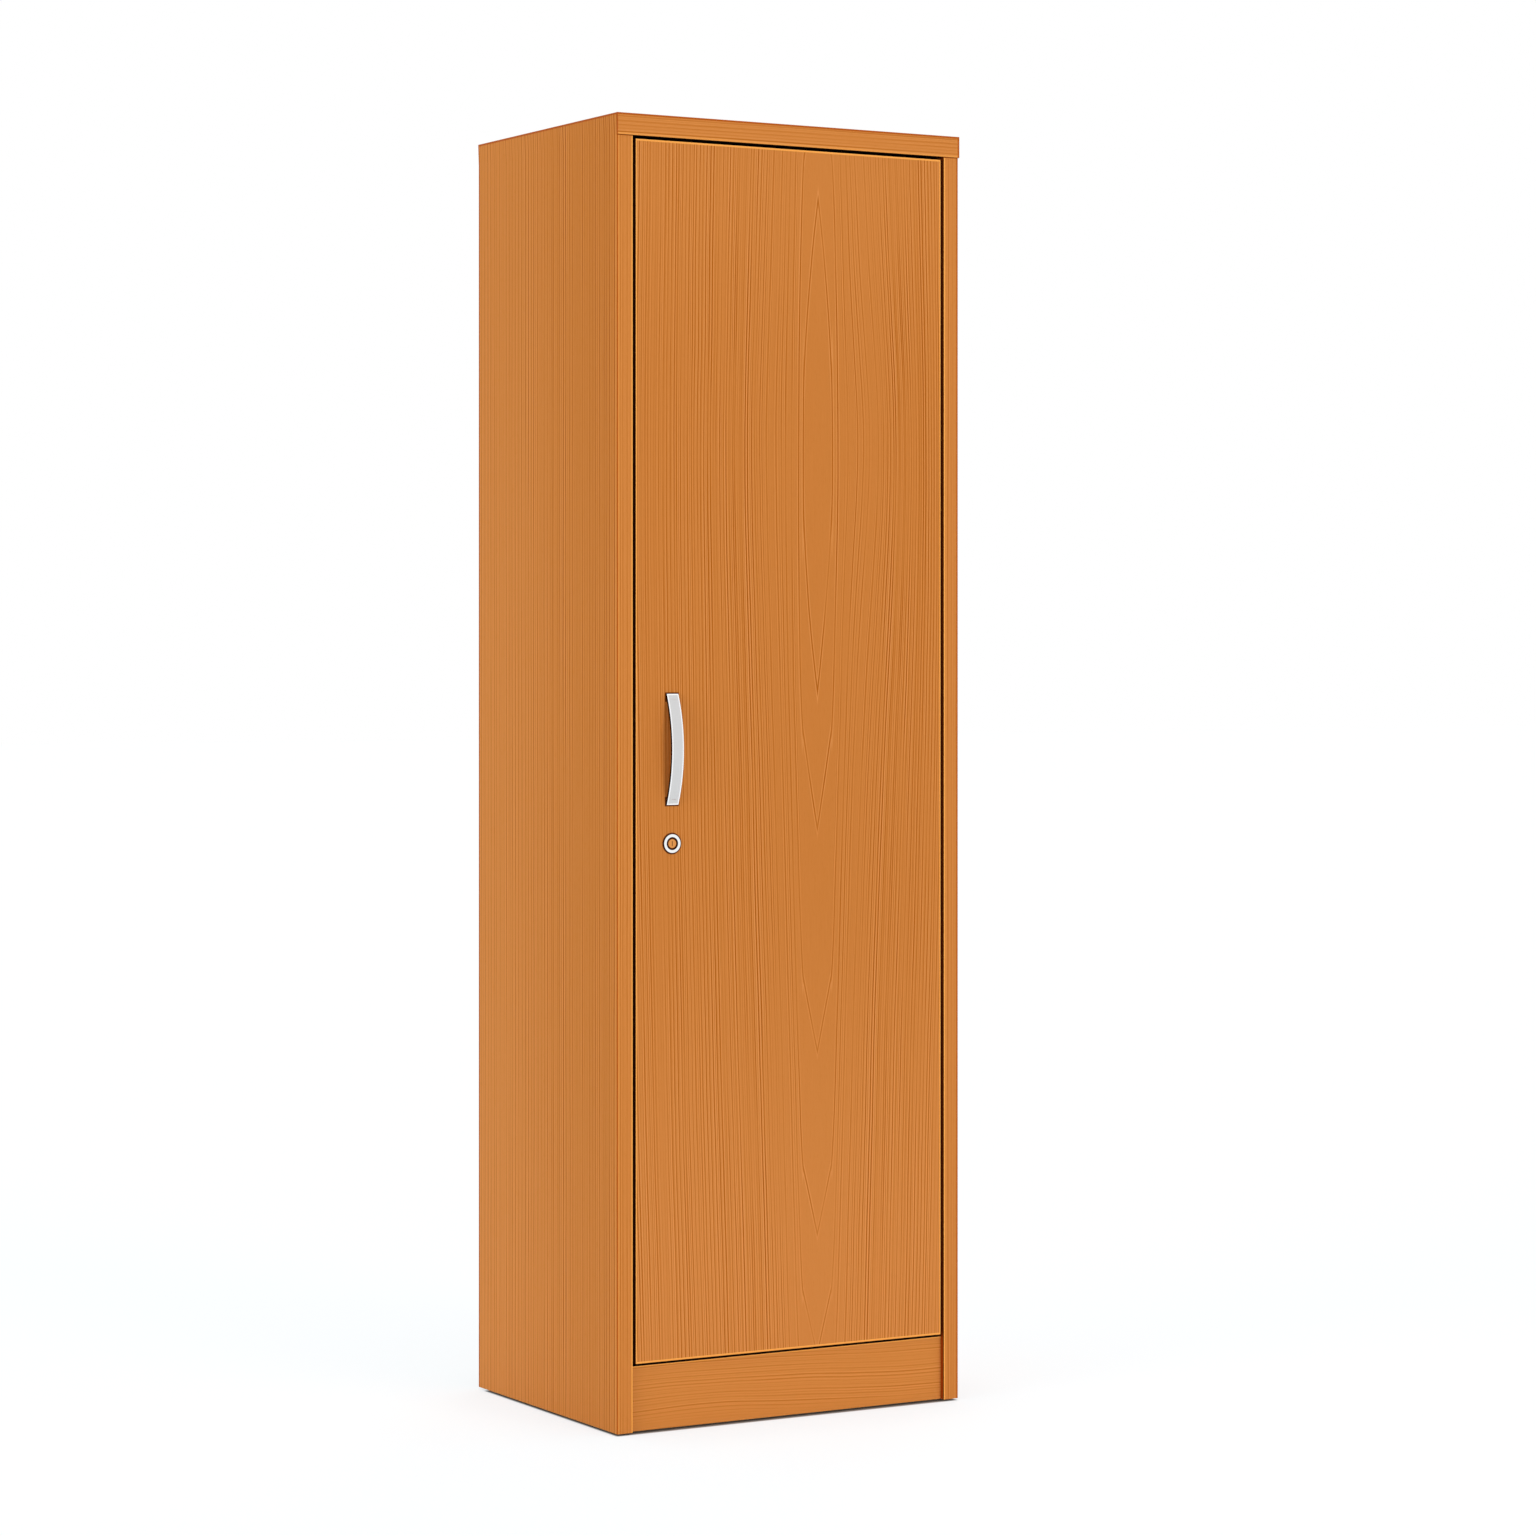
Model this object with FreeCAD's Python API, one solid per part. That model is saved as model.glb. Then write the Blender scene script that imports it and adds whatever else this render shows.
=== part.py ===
import FreeCAD, Part
import math
import os

from FreeCAD import Vector

# A tall one-door locker in wood-grain board: a carcass on glides, an inset door on three cup hinges,
# a bow handle and a cam lock. X runs to the right, Y to the rear and Z up. The origin lies on the
# floor, under the middle of the locker's box. Lengths are millimetres.

# Carcass boards and their edge bands
carcass_width = 550.0
carcass_depth = 425.0
locker_height = 1800.0
side_thickness = 24.0
top_thickness = 30.0
bottom_thickness = 18.0
shelf_thickness = 18.0
rear_rail_thickness = 18.0
back_thickness = 5.0
back_inset = 12.0
back_groove_depth = 8.0
back_lift = 12.0
side_band = 2.0
top_front_band = 2.0
top_end_band = 1.0
shelf_band = 1.0
thick_band_round = 1.0
thin_band_round = 0.5

# Plinth, door and the gaps round the door
plinth_top = 92.0
plinth_thickness = 18.0
plinth_recess = 8.0
door_thickness = 18.0
door_recess = 1.0
door_gap = 4.0
door_band = 1.0

# Shelves and the pins of the loose shelf
hat_shelf_height = 1420.0
shelf_setback = 45.0
shelf_end_clearance = 1.0
pin_hole_first = 250.0
pin_hole_pitch = 32.0
pin_hole_count = 7
pin_hole_used = 3
pin_row_inset = 50.0
pin_hole_depth = 10.0
pin_radius = 2.5
pin_head_radius = 4.0
pin_head_length = 8.0
pin_end_clearance = 0.5

# Cam fittings, dowels and glides
cam_radius = 7.5
cam_distance = 34.0
cam_past_bolt = 3.5
cam_inset = 50.0
cam_slot_width = 1.6
cam_slot_depth = 2.0
bolt_radius = 3.0
bolt_hole_radius = 4.0
bolt_neck_radius = 1.8
bolt_head_radius = 3.0
bolt_head_length = 4.0
bolt_thread_radius = 2.5
bolt_thread_length = 11.0
dowel_radius = 4.0
dowel_half_length = 15.0
dowel_end_clearance = 1.0
glide_height = 3.0
glide_radius = 10.0
glide_inset = 45.0
glide_nail_radius = 1.25
glide_nail_length = 14.0

# Coat rail under the hat shelf
rail_radius = 12.5
rail_wall = 1.2
rail_drop = 45.0
rail_end_inset = 14.0
rail_end_clearance = 0.3
socket_wall = 2.5
socket_depth = 12.0
socket_floor = 2.5
bracket_plate = 3.0
bracket_wing = 13.0

# Wood screws: the same shape serves brackets, strike, hinge cups, hinge plates and back panel
screw_radius = 1.75
screw_length = 14.0
screw_head_radius = 3.5
screw_head_height = 2.0
back_screw_spread_share = 0.72

# Cup hinges
hinge_end_inset = 110.0
cup_radius = 17.5
cup_depth = 13.0
cup_wall = 1.0
cup_edge = 5.0
cup_flange = 1.4
cup_flange_margin = 1.4
cup_screw_spacing = 48.0
cup_screw_shift = 6.0
cup_lug_radius = 5.5
pivot_inset = 12.5
pivot_depth = 8.8
pin_axle_radius = 1.5
eye_radius = 2.8
ear_radius = 3.0
ear_width = 2.6
ear_clearance = 0.3
arm_width = 12.0
arm_thickness = 2.4
arm_bend = 2.0
arm_tail = 15.0
neck_shift = 10.5
crank_depth = 9.5
channel_half_width = 9.2
channel_wall = 1.2
channel_clearance = 0.3
channel_foot_gap = 0.5
plate_line = 37.0
plate_base = 2.0
plate_body = 8.0
plate_front = 14.0
plate_wing_half = 7.0
plate_wing_length = 22.0
plate_corner = 5.0
plate_screw_spacing = 32.0
arm_screw_radius = 2.0
arm_screw_length = 8.0
arm_screw_shift = 8.0

# Bow handle
handle_offset = 57.0
handle_height = 933.0
bow_length = 153.0
bow_width = 19.0
bow_rise = 18.0
bow_end_height = 2.0
bow_thickness = 3.2
bow_edge_round = 0.8
bow_boss_radius = 4.5
handle_screw_spacing = 128.0
handle_screw_radius = 2.0
handle_screw_bite = 4.0
handle_screw_hole = 2.3
handle_screw_head_radius = 4.0
handle_screw_head_height = 2.5

# Cam lock and its strike
lock_height = 804.0
bezel_radius = 13.5
bezel_thickness = 3.0
bezel_round = 1.2
barrel_radius = 9.5
barrel_stand = 8.0
plug_head_radius = 8.0
plug_head_height = 2.0
plug_recess = 0.4
plug_radius = 6.0
plug_square = 8.0
keyway_width = 2.2
keyway_height = 9.0
keyway_depth = 12.0
lock_nut_sides = 6
lock_nut_across = 24.0
lock_nut_thickness = 5.0
lock_cam_thickness = 2.5
lock_cam_hub_radius = 9.0
lock_cam_tip_radius = 7.0
lock_cam_tip_clearance = 3.0
lock_cam_lift = 0.3
cam_screw_radius = 2.0
cam_screw_length = 8.0
cam_screw_head_radius = 4.0
cam_screw_head_height = 2.5
strike_thickness = 2.0
strike_reach = 18.0
strike_leg = 27.0
strike_height = 40.0
strike_bend = 1.5
strike_screw_spacing = 22.0
strike_clearance = 0.6

# Clearances: a close fit round pins and dowels, a running fit at the lock, and the run-out of cuts
fit_clearance = 0.05
running_clearance = 0.1
hole_end_clearance = 0.5
overrun = 1.0

# Planes and edges worked out from the sizes above
bow_reach = bow_rise - door_recess
front_y = (bow_reach - carcass_depth) / 2
rear_y = front_y + carcass_depth
half_width = carcass_width / 2
inner_half = half_width - side_thickness
top_underside = locker_height - top_thickness
back_y = rear_y - back_inset - back_thickness
plinth_y = front_y + plinth_recess
plinth_rear_y = plinth_y + plinth_thickness
bottom_underside = plinth_top - bottom_thickness
door_front_y = front_y + door_recess
door_rear_y = door_front_y + door_thickness
door_left = door_gap - inner_half
door_right = inner_half - door_gap
door_bottom = plinth_top + door_gap
door_top = top_underside - door_gap
shelf_front_y = door_rear_y + shelf_setback
hat_shelf_underside = hat_shelf_height - shelf_thickness
handle_x = door_left + handle_offset
cam_front_y = door_rear_y + barrel_stand + lock_cam_lift

RIGHT = Vector(1, 0, 0)
REAR = Vector(0, 1, 0)
UP = Vector(0, 0, 1)
LEFT = RIGHT * -1
FRONT = REAR * -1
DOWN = UP * -1

solids = {}
cuts = {}


def add(node, *pieces):
    solids.setdefault(node, []).extend(pieces)


def cut(node, *cutters):
    cuts.setdefault(node, []).extend(cutters)


def box(x_span, y_span, z_span):
    spans = (x_span, y_span, z_span)
    lows = [min(span) for span in spans]
    sizes = [max(span) - min(span) for span in spans]
    return Part.makeBox(*sizes, Vector(*lows))


def rod(radius, length, start, axis):
    return Part.makeCylinder(radius, length, start, axis)


def bore(radius, depth, mouth, axis):
    """A round cutter that starts just outside the mouth."""
    return rod(radius, depth + overrun, mouth - axis * overrun, axis)


def around(center, half):
    return (center - half, center + half)


def screw(seat, axis, radius, length, head_radius, head_height):
    """A plain screw whose head sits on the seat and whose shank points along the axis."""
    shank = rod(radius, length, seat, axis)
    head = rod(head_radius, head_height, seat - axis * head_height, axis)
    return head.fuse(shank).removeSplitter()


def wood_screw(group, seat, axis, through, into):
    """A wood screw in a group, with its hole through one piece and into the board behind it."""
    add(group, screw(seat, axis, screw_radius, screw_length, screw_head_radius, screw_head_height))
    hole = bore(screw_radius + fit_clearance, screw_length + hole_end_clearance, seat, axis)
    cut(through, hole)
    cut(into, hole)


def rounded_edges(corners, place):
    """Edges of a closed outline of corners (u, v, radius), laid out in space by place(u, v)."""
    points = [place(u, v) for u, v, radius in corners]
    runs = []
    for index, (u, v, radius) in enumerate(corners):
        corner = points[index]
        after = points[(index + 1) % len(points)]
        inward = (corner - points[index - 1]).normalize()
        outward = (after - corner).normalize()
        if radius == 0:
            runs.append((corner, None, corner))
            continue
        half_turn = inward.getAngle(outward) / 2
        reach = radius * math.tan(half_turn)
        middle = corner + (outward - inward).normalize() * (radius / math.cos(half_turn) - radius)
        runs.append((corner - inward * reach, middle, corner + outward * reach))
    edges = []
    for index, (start, middle, end) in enumerate(runs):
        edges.append(Part.makeLine(runs[index - 1][2], start))
        if middle is not None:
            edges.append(Part.Arc(start, middle, end).toShape())
    return edges


def hull_edges(circles, place):
    """Edges of the band stretched round circles (u, v, radius), given counter-clockwise."""
    normals = []
    for index, (u, v, radius) in enumerate(circles):
        next_u, next_v, next_radius = circles[(index + 1) % len(circles)]
        heading = math.atan2(next_v - v, next_u - u)
        apart = math.hypot(next_u - u, next_v - v)
        normals.append(heading - math.acos((radius - next_radius) / apart))
    edges = []
    ends = []
    for index, (u, v, radius) in enumerate(circles):
        start = normals[index - 1]
        turn = (normals[index] - start) % math.tau
        rim = []
        for angle in (start, start + turn / 2, start + turn):
            rim.append(place(u + radius * math.cos(angle), v + radius * math.sin(angle)))
        edges.append(Part.Arc(*rim).toShape())
        ends.append((rim[0], rim[2]))
    for index, (start, end) in enumerate(ends):
        edges.append(Part.makeLine(ends[index - 1][1], start))
    return edges


def eased(solid, way, along, radius):
    """The solid with the long edges of the face that points the given way rounded."""
    edges = []
    for face in solid.Faces:
        if face.normalAt(0, 0).isEqual(way, 0):
            for edge in face.Edges:
                if edge.tangentAt(0).cross(along).Length == 0:
                    edges.append(edge)
    return solid.makeFillet(radius, edges)


def plate(edges, thickness):
    """A flat piece with the outline of the edges, as thick as the vector says."""
    outline = Part.Wire(Part.__sortEdges__(edges))
    return Part.Face(outline).extrude(thickness)


def cam_joint(bolt_board, cam_board, place, along, face_way, cam_board_thickness):
    """A bolt in one board and the cam that draws the other board to it.

    The place is on the touching faces, in the middle of the cam board's thickness. The way along
    runs into the cam board, and face_way points at the face that the cam is drilled from.
    """
    half = cam_board_thickness / 2
    center = place + along * cam_distance
    face = center + face_way * half
    shank_length = cam_distance - bolt_head_length
    thread = rod(bolt_thread_radius, bolt_thread_length, place, along * -1)
    shank = rod(bolt_radius, shank_length, place, along)
    neck = rod(bolt_neck_radius, bolt_head_length, place + along * shank_length, along)
    head = rod(bolt_head_radius, bolt_head_length / 2, center, along)
    add("cam_bolts", thread.fuse([shank, neck, head]).removeSplitter())
    cam_depth = half + cam_past_bolt
    cam = rod(cam_radius, cam_depth, face, face_way * -1)
    pocket_end = center + along * bolt_hole_radius
    pocket = rod(bolt_hole_radius, cam_radius + bolt_hole_radius, pocket_end, along * -1)
    across = along.cross(face_way)
    slot_z = (0, cam_slot_depth + overrun)
    slot = box(around(0, cam_slot_width / 2), around(0, cam_radius + overrun), slot_z)
    turn = FreeCAD.Rotation(along, across, face_way * -1, "ZXY")
    slot.Placement = FreeCAD.Placement(face + face_way * overrun, turn)
    add("cam_housings", cam.cut([pocket, slot]))
    cut(cam_board, bore(bolt_hole_radius, cam_distance, place, along))
    cut(cam_board, bore(cam_radius + fit_clearance, cam_depth + hole_end_clearance, face, face_way * -1))
    thread_hole = bolt_thread_length + hole_end_clearance
    cut(bolt_board, bore(bolt_thread_radius + fit_clearance, thread_hole, place, along * -1))


def dowel_joint(first_board, second_board, place, along):
    """A dowel half in each of two boards that touch at the place."""
    add("dowels", rod(dowel_radius, dowel_half_length * 2, place - along * dowel_half_length, along))
    depth = dowel_half_length + dowel_end_clearance
    cut(first_board, bore(dowel_radius + fit_clearance, depth, place, along * -1))
    cut(second_board, bore(dowel_radius + fit_clearance, depth, place, along))


def side_panel(name, side):
    outer_x = side * half_width
    inner_x = side * inner_half
    z_span = (glide_height, top_underside)
    add(name, box((outer_x, inner_x), (front_y + side_band, rear_y), z_span))
    groove_x = inner_x + side * back_groove_depth
    groove_z = (glide_height - overrun, top_underside + overrun)
    cut(name, box((inner_x - side * overrun, groove_x), (back_y, back_y + back_thickness), groove_z))
    band = box((outer_x, inner_x), (front_y, front_y + side_band), z_span)
    add(name.replace("panel", "edge_band"), eased(band, FRONT, UP, thick_band_round))


def top_panel():
    z_span = (top_underside, locker_height)
    add("top_panel", box(around(0, half_width), (front_y, rear_y), z_span))
    groove_x = around(0, inner_half + back_groove_depth)
    groove_z = (top_underside - overrun, top_underside + back_groove_depth)
    cut("top_panel", box(groove_x, (back_y, back_y + back_thickness), groove_z))
    for name, side in (("top_left_end_band", -1), ("top_right_end_band", 1)):
        ends = (side * half_width, side * (half_width + top_end_band))
        add(name, eased(box(ends, (front_y, rear_y), z_span), RIGHT * side, REAR, thin_band_round))
    band_x = around(0, half_width + top_end_band)
    band = box(band_x, (front_y - top_front_band, front_y), z_span)
    add("top_front_edge_band", eased(band, FRONT, RIGHT, thick_band_round))


def base_boards():
    add("bottom_panel", box(around(0, inner_half), (plinth_rear_y, back_y), (bottom_underside, plinth_top)))
    add("plinth_board", box(around(0, inner_half), (plinth_y, plinth_rear_y), (glide_height, plinth_top)))
    rail_y = (back_y - rear_rail_thickness, back_y)
    add("rear_plinth_rail", box(around(0, inner_half), rail_y, (glide_height, bottom_underside)))


def back_panel():
    reach = back_groove_depth - hole_end_clearance
    z_span = (glide_height + back_lift, top_underside + reach)
    add("back_panel", box(around(0, inner_half + reach), (back_y, back_y + back_thickness), z_span))
    spread = inner_half * back_screw_spread_share
    rail_middle = (glide_height + back_lift + bottom_underside) / 2
    heights = (("rear_plinth_rail", rail_middle), ("hat_shelf", hat_shelf_height - shelf_thickness / 2))
    for board, height in heights:
        for x in (-spread, 0, spread):
            seat = Vector(x, back_y + back_thickness, height)
            wood_screw("back_panel_screws", seat, FRONT, "back_panel", board)


def shelf(name, half_length, rear, underside):
    z_span = (underside, underside + shelf_thickness)
    add(name, box(around(0, half_length), (shelf_front_y + shelf_band, rear), z_span))
    band_y = (shelf_front_y, shelf_front_y + shelf_band)
    band = box(around(0, half_length), band_y, z_span)
    add(name + "_edge_band", eased(band, FRONT, RIGHT, thin_band_round))


def pin_rows():
    """Rows of pin holes in both sides, and the four pins that carry the loose shelf."""
    pin_z = pin_hole_first + pin_hole_used * pin_hole_pitch
    flat_z = pin_z + pin_radius
    shelf("shoe_shelf", inner_half - shelf_end_clearance, back_y - shelf_end_clearance, flat_z)
    for name, side in (("left_side_panel", -1), ("right_side_panel", 1)):
        for y in (shelf_front_y + pin_row_inset, back_y - pin_row_inset):
            way_out = RIGHT * side
            for row in range(pin_hole_count):
                mouth = Vector(side * inner_half, y, pin_hole_first + row * pin_hole_pitch)
                cut(name, bore(pin_radius + fit_clearance, pin_hole_depth, mouth, way_out))
            seat = Vector(side * inner_half, y, pin_z)
            shank = rod(pin_radius, pin_hole_depth - pin_end_clearance, seat, way_out)
            head = rod(pin_head_radius, pin_head_length, seat, way_out * -1)
            above = box(
                around(seat.x, pin_head_length + overrun),
                around(y, pin_head_radius + overrun),
                (flat_z, flat_z + pin_head_radius),
            )
            add("shelf_pins", head.cut(above).fuse(shank).removeSplitter())


def carcass_joints():
    for name, side in (("left_side_panel", -1), ("right_side_panel", 1)):
        middle_x = side * (inner_half + side_thickness / 2)
        to_middle = LEFT * side
        for y in (front_y + cam_inset, back_y - cam_inset):
            place = Vector(middle_x, y, top_underside)
            cam_joint("top_panel", name, place, DOWN, to_middle, side_thickness)
        for y in (plinth_rear_y + cam_inset, back_y - cam_inset):
            place = Vector(side * inner_half, y, plinth_top - bottom_thickness / 2)
            cam_joint(name, "bottom_panel", place, to_middle, DOWN, bottom_thickness)
        for y in (shelf_front_y + cam_inset, back_y - cam_inset):
            place = Vector(side * inner_half, y, hat_shelf_height - shelf_thickness / 2)
            cam_joint(name, "hat_shelf", place, to_middle, DOWN, shelf_thickness)
        dowel_lines = (
            ("plinth_board", plinth_y + plinth_thickness / 2, glide_height, plinth_top),
            ("rear_plinth_rail", back_y - rear_rail_thickness / 2, glide_height, bottom_underside),
        )
        for board, y, low, high in dowel_lines:
            for z in (low + dowel_half_length, high - dowel_half_length):
                dowel_joint(name, board, Vector(side * inner_half, y, z), to_middle)
        for y in (front_y + glide_inset, rear_y - glide_inset):
            foot = Vector(middle_x, y, glide_height)
            disc = rod(glide_radius, glide_height, foot, DOWN)
            nail = rod(glide_nail_radius, glide_nail_length, foot, UP)
            add("floor_glides", disc.fuse(nail).removeSplitter())
            nail_hole = glide_nail_length + hole_end_clearance
            cut(name, bore(glide_nail_radius + fit_clearance, nail_hole, foot, UP))


def coat_rail():
    """A tube from front to rear in two sockets that are screwed under the hat shelf."""
    rail_z = hat_shelf_underside - rail_drop
    outer = rail_radius + socket_wall
    length = socket_floor + socket_depth
    ends = ((shelf_front_y + rail_end_inset, REAR), (back_y - rail_end_inset, FRONT))
    for y, inward in ends:
        far_y = y + inward.y * length
        wings = box(
            around(0, outer + bracket_wing),
            (y, far_y),
            (hat_shelf_underside - bracket_plate, hat_shelf_underside),
        )
        stem = box(around(0, outer), (y, far_y), (rail_z, hat_shelf_underside))
        socket = rod(outer, length, Vector(0, y, rail_z), inward)
        hollow = rod(
            rail_radius + running_clearance,
            socket_depth + overrun,
            Vector(0, y, rail_z) + inward * socket_floor,
            inward,
        )
        add("rail_brackets", wings.fuse([stem, socket]).removeSplitter().cut(hollow))
        for side in (-1, 1):
            seat_x = side * (outer + bracket_wing / 2)
            seat = Vector(seat_x, (y + far_y) / 2, hat_shelf_underside - bracket_plate)
            wood_screw("rail_bracket_screws", seat, UP, "rail_brackets", "hat_shelf")
    start = ends[0][0] + socket_floor + rail_end_clearance
    rail_length = ends[1][0] - socket_floor - rail_end_clearance - start
    tube = rod(rail_radius, rail_length, Vector(0, start, rail_z), REAR)
    inside = rod(rail_radius - rail_wall, rail_length, Vector(0, start, rail_z), REAR)
    add("coat_rail", tube.cut(inside))


def door():
    core_x = (door_left + door_band, door_right - door_band)
    core_z = (door_bottom + door_band, door_top - door_band)
    y_span = (door_front_y, door_rear_y)
    add("door_panel", box(core_x, y_span, core_z))
    full_z = (door_bottom, door_top)
    bands = (
        ("door_left_edge_band", (door_left, core_x[0]), full_z, LEFT, UP),
        ("door_right_edge_band", (core_x[1], door_right), full_z, RIGHT, UP),
        ("door_bottom_edge_band", core_x, (door_bottom, core_z[0]), DOWN, RIGHT),
        ("door_top_edge_band", core_x, (core_z[1], door_top), UP, RIGHT),
    )
    for name, x_span, z_span, way, along in bands:
        add(name, eased(box(x_span, y_span, z_span), way, along, thin_band_round))


def hinge_cup(name, pivot):
    """The pressed cup in the door, with its screw flange and the two ears that hold the pin."""
    center = Vector(door_right - cup_edge - cup_radius, door_rear_y, pivot.z)
    floor_y = door_rear_y - cup_depth + cup_wall
    shell = rod(cup_radius, cup_depth, center, FRONT)
    rim = (0, 0, cup_radius + cup_flange_margin)
    upper_lug = (-cup_screw_shift, cup_screw_spacing / 2, cup_lug_radius)
    lower_lug = (-cup_screw_shift, -cup_screw_spacing / 2, cup_lug_radius)
    edges = hull_edges((rim, upper_lug, rim, lower_lug), lambda u, v: center + RIGHT * u + UP * v)
    flange = plate(edges, REAR * cup_flange)
    mouth = center + REAR * cup_flange
    hollow = bore(cup_radius - cup_wall, cup_flange + cup_depth - cup_wall, mouth, FRONT)
    cup = shell.fuse(flange).removeSplitter().cut(hollow)
    for side in (-1, 1):
        near_z = pivot.z + side * (arm_width / 2 + ear_clearance)
        far_z = near_z + side * ear_width
        ear_top = rod(ear_radius, ear_width, Vector(pivot.x, pivot.y, near_z), UP * side)
        ear_leg = box(around(pivot.x, ear_radius), (floor_y, pivot.y), (near_z, far_z))
        cup = cup.fuse([ear_top, ear_leg])
    pin_half = arm_width / 2 + ear_clearance + ear_width
    pin_start = pivot - UP * pin_half
    add(name + "_cup", cup.removeSplitter())
    cut(name + "_cup", bore(pin_axle_radius + fit_clearance, pin_half * 2 + overrun, pin_start, UP))
    add("hinge_pins", rod(pin_axle_radius, pin_half * 2, pin_start, UP))
    cut("door_panel", bore(cup_radius + running_clearance, cup_depth + hole_end_clearance, center, FRONT))
    for side in (-1, 1):
        seat = mouth + LEFT * cup_screw_shift + UP * (side * cup_screw_spacing / 2)
        wood_screw("hinge_cup_screws", seat, FRONT, name + "_cup", "door_panel")


def hinge_arm(name, pivot):
    """The cranked arm: an eye on the pin, a neck out of the cup and a channel over the plate."""
    half = arm_thickness / 2
    outer_bend = arm_bend + arm_thickness
    neck_x = door_right - cup_edge - cup_radius - neck_shift
    crank_y = door_rear_y + crank_depth
    web_x = inner_half - plate_base - plate_body - half
    channel_y = (door_rear_y + plate_line - plate_front, door_rear_y + plate_line + arm_tail)
    corners = (
        (pivot.x, pivot.y - half, 0),
        (neck_x - half, pivot.y - half, outer_bend),
        (neck_x - half, crank_y + half, outer_bend),
        (web_x - half, crank_y + half, arm_bend),
        (web_x - half, channel_y[1], 0),
        (web_x + half, channel_y[1], 0),
        (web_x + half, crank_y - half, outer_bend),
        (neck_x + half, crank_y - half, arm_bend),
        (neck_x + half, pivot.y + half, arm_bend),
        (pivot.x, pivot.y + half, 0),
    )
    low_z = pivot.z - arm_width / 2
    strip = plate(rounded_edges(corners, lambda u, v: Vector(u, v, low_z)), UP * arm_width)
    eye = rod(eye_radius, arm_width, Vector(pivot.x, pivot.y, low_z), UP)
    web = box(around(web_x, half), channel_y, around(pivot.z, channel_half_width))
    foot_x = inner_half - plate_base - channel_foot_gap
    walls = []
    for side in (-1, 1):
        wall_z = (pivot.z + side * channel_half_width, pivot.z + side * (channel_half_width - channel_wall))
        walls.append(box((web_x - half, foot_x), channel_y, wall_z))
    add(name + "_arm", strip.fuse([eye, web] + walls).removeSplitter())
    eye_foot = Vector(pivot.x, pivot.y, low_z)
    cut(name + "_arm", bore(pin_axle_radius + fit_clearance, arm_width + overrun, eye_foot, UP))


def hinge_plate(name, pivot):
    """The plate on the side panel that the arm slides over and is clamped to by one screw."""
    base_x = inner_half - plate_base
    line_y = door_rear_y + plate_line
    wing = []
    for u, v in ((-1, -1), (1, -1), (1, 1), (-1, 1)):
        wing.append((line_y + u * plate_wing_half, pivot.z + v * plate_wing_length, plate_corner))
    base = plate(rounded_edges(wing, lambda u, v: Vector(inner_half, u, v)), LEFT * plate_base)
    body = box(
        (base_x - plate_body, base_x),
        (line_y - plate_front, line_y + arm_tail),
        around(pivot.z, channel_half_width - channel_wall - channel_clearance),
    )
    add(name + "_plate", base.fuse(body).removeSplitter())
    for side in (-1, 1):
        seat = Vector(base_x, line_y, pivot.z + side * plate_screw_spacing / 2)
        wood_screw("hinge_plate_screws", seat, RIGHT, name + "_plate", "right_side_panel")
    arm_face = base_x - plate_body - arm_thickness
    seat = Vector(arm_face, line_y + arm_screw_shift, pivot.z)
    add(
        "hinge_arm_screws",
        screw(seat, RIGHT, arm_screw_radius, arm_screw_length, screw_head_radius, screw_head_height),
    )
    hole = bore(arm_screw_radius + fit_clearance, arm_screw_length + hole_end_clearance, seat, RIGHT)
    cut(name + "_arm", hole)
    cut(name + "_plate", hole)


def hinges():
    heights = (
        ("upper_hinge", door_top - hinge_end_inset),
        ("middle_hinge", (door_bottom + door_top) / 2),
        ("lower_hinge", door_bottom + hinge_end_inset),
    )
    for name, height in heights:
        pivot = Vector(door_right - pivot_inset, door_rear_y - pivot_depth, height)
        hinge_cup(name, pivot)
        hinge_arm(name, pivot)
        hinge_plate(name, pivot)


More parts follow.
